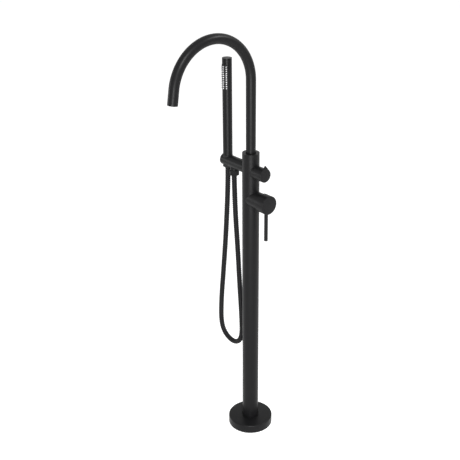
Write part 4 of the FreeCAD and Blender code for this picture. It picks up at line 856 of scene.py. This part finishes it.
cone_nut = turned("cone_nut_coated", [
    (NUT_MOUTH, CONE_FOOT),
    (CONE_NECK, CONE_FOOT),
    (CONE_NECK, CONE_NECK_END),
    (CONE_SHOULDER, CONE_SHOULDER_START),
    (CONE_SHOULDER, STICK_FOOT),
    (THREAD_RADIUS, STICK_FOOT),
    (THREAD_RADIUS, CONE_FOOT + NUT_FLOOR),
    (NUT_MOUTH, CONE_FOOT + NUT_FLOOR),
], STICK_PLACE)
seat(ease(cone_nut, CONE_EDGE), "handset_cone_nut", "hand_shower", BLACK_COAT)

# ---------------------------------------------------------------- working parts
# What the column and the handles hide: brass waterways and headworks, copper supply tubes,
# moulded cartridge and bush, rubber seals, steel pins and screws. They keep their own shape.

# Turned brass, not plated: warm yellow, with a soft and slightly uneven shine.
BRASS = finish(
    "machined_brass",
    colours=("#c8a25a", "#d6b36c"), drift=0.01,
    roughness=(0.24, 0.36), patches=0.004,
    grain=0.0008, relief=0.00001,
    Metallic=1.0,
)
# Half-hard copper tube as drawn: pinkish, with a soft sheen and slight tarnish.
COPPER = finish(
    "drawn_copper",
    colours=("#b8744f", "#cf8a63"), drift=0.02,
    roughness=(0.28, 0.42), patches=0.01,
    grain=0.001, relief=0.00001,
    Metallic=1.0,
)
# Zinc-plated steel: pale blue-grey and slightly cloudy.
STEEL = finish(
    "zinc_plated_steel",
    colours=("#9fa3a8", "#b9bdc2"), drift=0.008,
    roughness=(0.30, 0.42), patches=0.005,
    grain=0.0008, relief=0.00001,
    Metallic=1.0,
)
# White acetal, moulded: waxy and even.
ACETAL = finish(
    "white_acetal",
    colours=("#dcdcd6", "#e6e6e0"), drift=0.01,
    roughness=(0.35, 0.45), patches=0.006,
    grain=0.0007, relief=0.00001,
    IOR=1.48,
)
# Black EPDM rubber, moulded: flat and very slightly bloomed.
RUBBER = finish(
    "seal_rubber",
    colours=("#1b1b1b", "#242424"), drift=0.004,
    roughness=(0.65, 0.75), patches=0.003,
    grain=0.0006, relief=0.00001,
    IOR=1.52, Specular_IOR_Level=0.3,
)
WORKING_PARTS = [
    (BRASS, [
        "valve_body", "spout_stub", "inlet_union_nuts", "diverter_cartridge", "diverter_spindle",
        "mixer_housing", "cartridge_nut", "lever_stem", "holder_stud", "outlet_hose_tail",
        "handset_hose_tail", "handset_nipple",
    ]),
    (COPPER, ["hot_inlet_tube", "cold_inlet_tube"]),
    (STEEL, [
        "floor_flange", "column_clamp_screws", "tilt_pin", "handle_set_screw", "diverter_knob_screw",
    ]),
    (ACETAL, ["spout_bush", "mixer_cartridge"]),
    (RUBBER, ["spout_o_rings", "outlet_washer", "handset_washer"]),
    (BLACK_NYLON, ["aerator_jet_disc", "lever_carrier"]),
    (BLACK_COAT, ["aerator_shell", "hose_outlet_nipple"]),
]
for material, names in WORKING_PARTS:
    for name in names:
        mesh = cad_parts[name].data
        mesh.materials.clear()
        mesh.materials.append(material)

# ---------------------------------------------------------------- studio
# A pale floor that reads as white to the camera and keeps the soft shadow, under four soft
# boxes: one low behind the camera, two high on the lever's side, a weak one on the spout's.
FLOOR_REACH = 14
SOFT_BOXES = [
    ("front_light", (2.25, -2.05, 0.5), (0, 0, 0.6), (1.1, 0.9), 75),
    ("spout_side_light", (-2.2, -1.9, 0.9), (0, 0, 0.6), (0.8, 0.8), 12),
    ("lever_side_light", (1.4, 2.0, 3.0), (0, 0, 0.9), (0.7, 0.7), 55),
    ("overhead_light", (2.1, -1.3, 2.8), (0, 0, 0.9), (0.55, 0.55), 75),
]


def seen_or_lit(tree, seen, lit):
    """One strength for what the camera, reflections and see-through parts show, one for light."""
    rays = add(tree, "ShaderNodeLightPath").outputs
    either = add(tree, "ShaderNodeMath", {
        0: rays["Is Camera Ray"], 1: rays["Is Glossy Ray"],
    }, operation="MAXIMUM")
    shown = add(tree, "ShaderNodeMath", {
        0: either.outputs[0], 1: rays["Is Transmission Ray"],
    }, operation="MAXIMUM")
    level = add(tree, "ShaderNodeMapRange", {
        "Value": shown.outputs[0], "To Min": lit, "To Max": seen,
    })
    return level.outputs["Result"]


def pale_floor():
    """A matte white floor: what the camera and reflections see is lifted to white."""
    material = bare_material("pale_floor")
    tree = material.node_tree
    paint = add(tree, "ShaderNodeBsdfDiffuse", {"Color": linear("#c4c4c4")})
    glow = add(tree, "ShaderNodeEmission", {
        "Color": (1, 1, 1, 1), "Strength": seen_or_lit(tree, seen=0.88, lit=0.0),
    })
    lift = add(tree, "ShaderNodeAddShader", {0: paint.outputs[0], 1: glow.outputs[0]})
    add(tree, "ShaderNodeOutputMaterial", {"Surface": lift.outputs[0]})
    return material


floor_mesh = bpy.data.meshes.new("floor")
floor_corners = [(x * FLOOR_REACH, y * FLOOR_REACH, 0) for x, y in ((-1, -1), (1, -1), (1, 1), (-1, 1))]
floor_mesh.from_pydata(floor_corners, [], [(0, 1, 2, 3)])
floor_mesh.materials.append(pale_floor())
floor = put("floor", floor_mesh)

for name, place, target, (width, height), power in SOFT_BOXES:
    lamp = bpy.data.lights.new(name, "AREA")
    lamp.shape = "RECTANGLE"
    lamp.size = width
    lamp.size_y = height
    lamp.energy = power
    soft_box = put(name, lamp)
    soft_box.location = place
    soft_box.rotation_euler = (Vector(target) - Vector(place)).to_track_quat("-Z", "Y").to_euler()

world = bpy.data.worlds.new("studio")
world.use_nodes = True
world.node_tree.nodes.clear()
surround = add(world.node_tree, "ShaderNodeBackground", {
    "Color": linear("#ffffff"), "Strength": seen_or_lit(world.node_tree, seen=1.0, lit=0.22),
})
add(world.node_tree, "ShaderNodeOutputWorld", {"Surface": surround.outputs[0]})
bpy.context.scene.world = world
bpy.context.scene.view_settings.view_transform = "Standard"
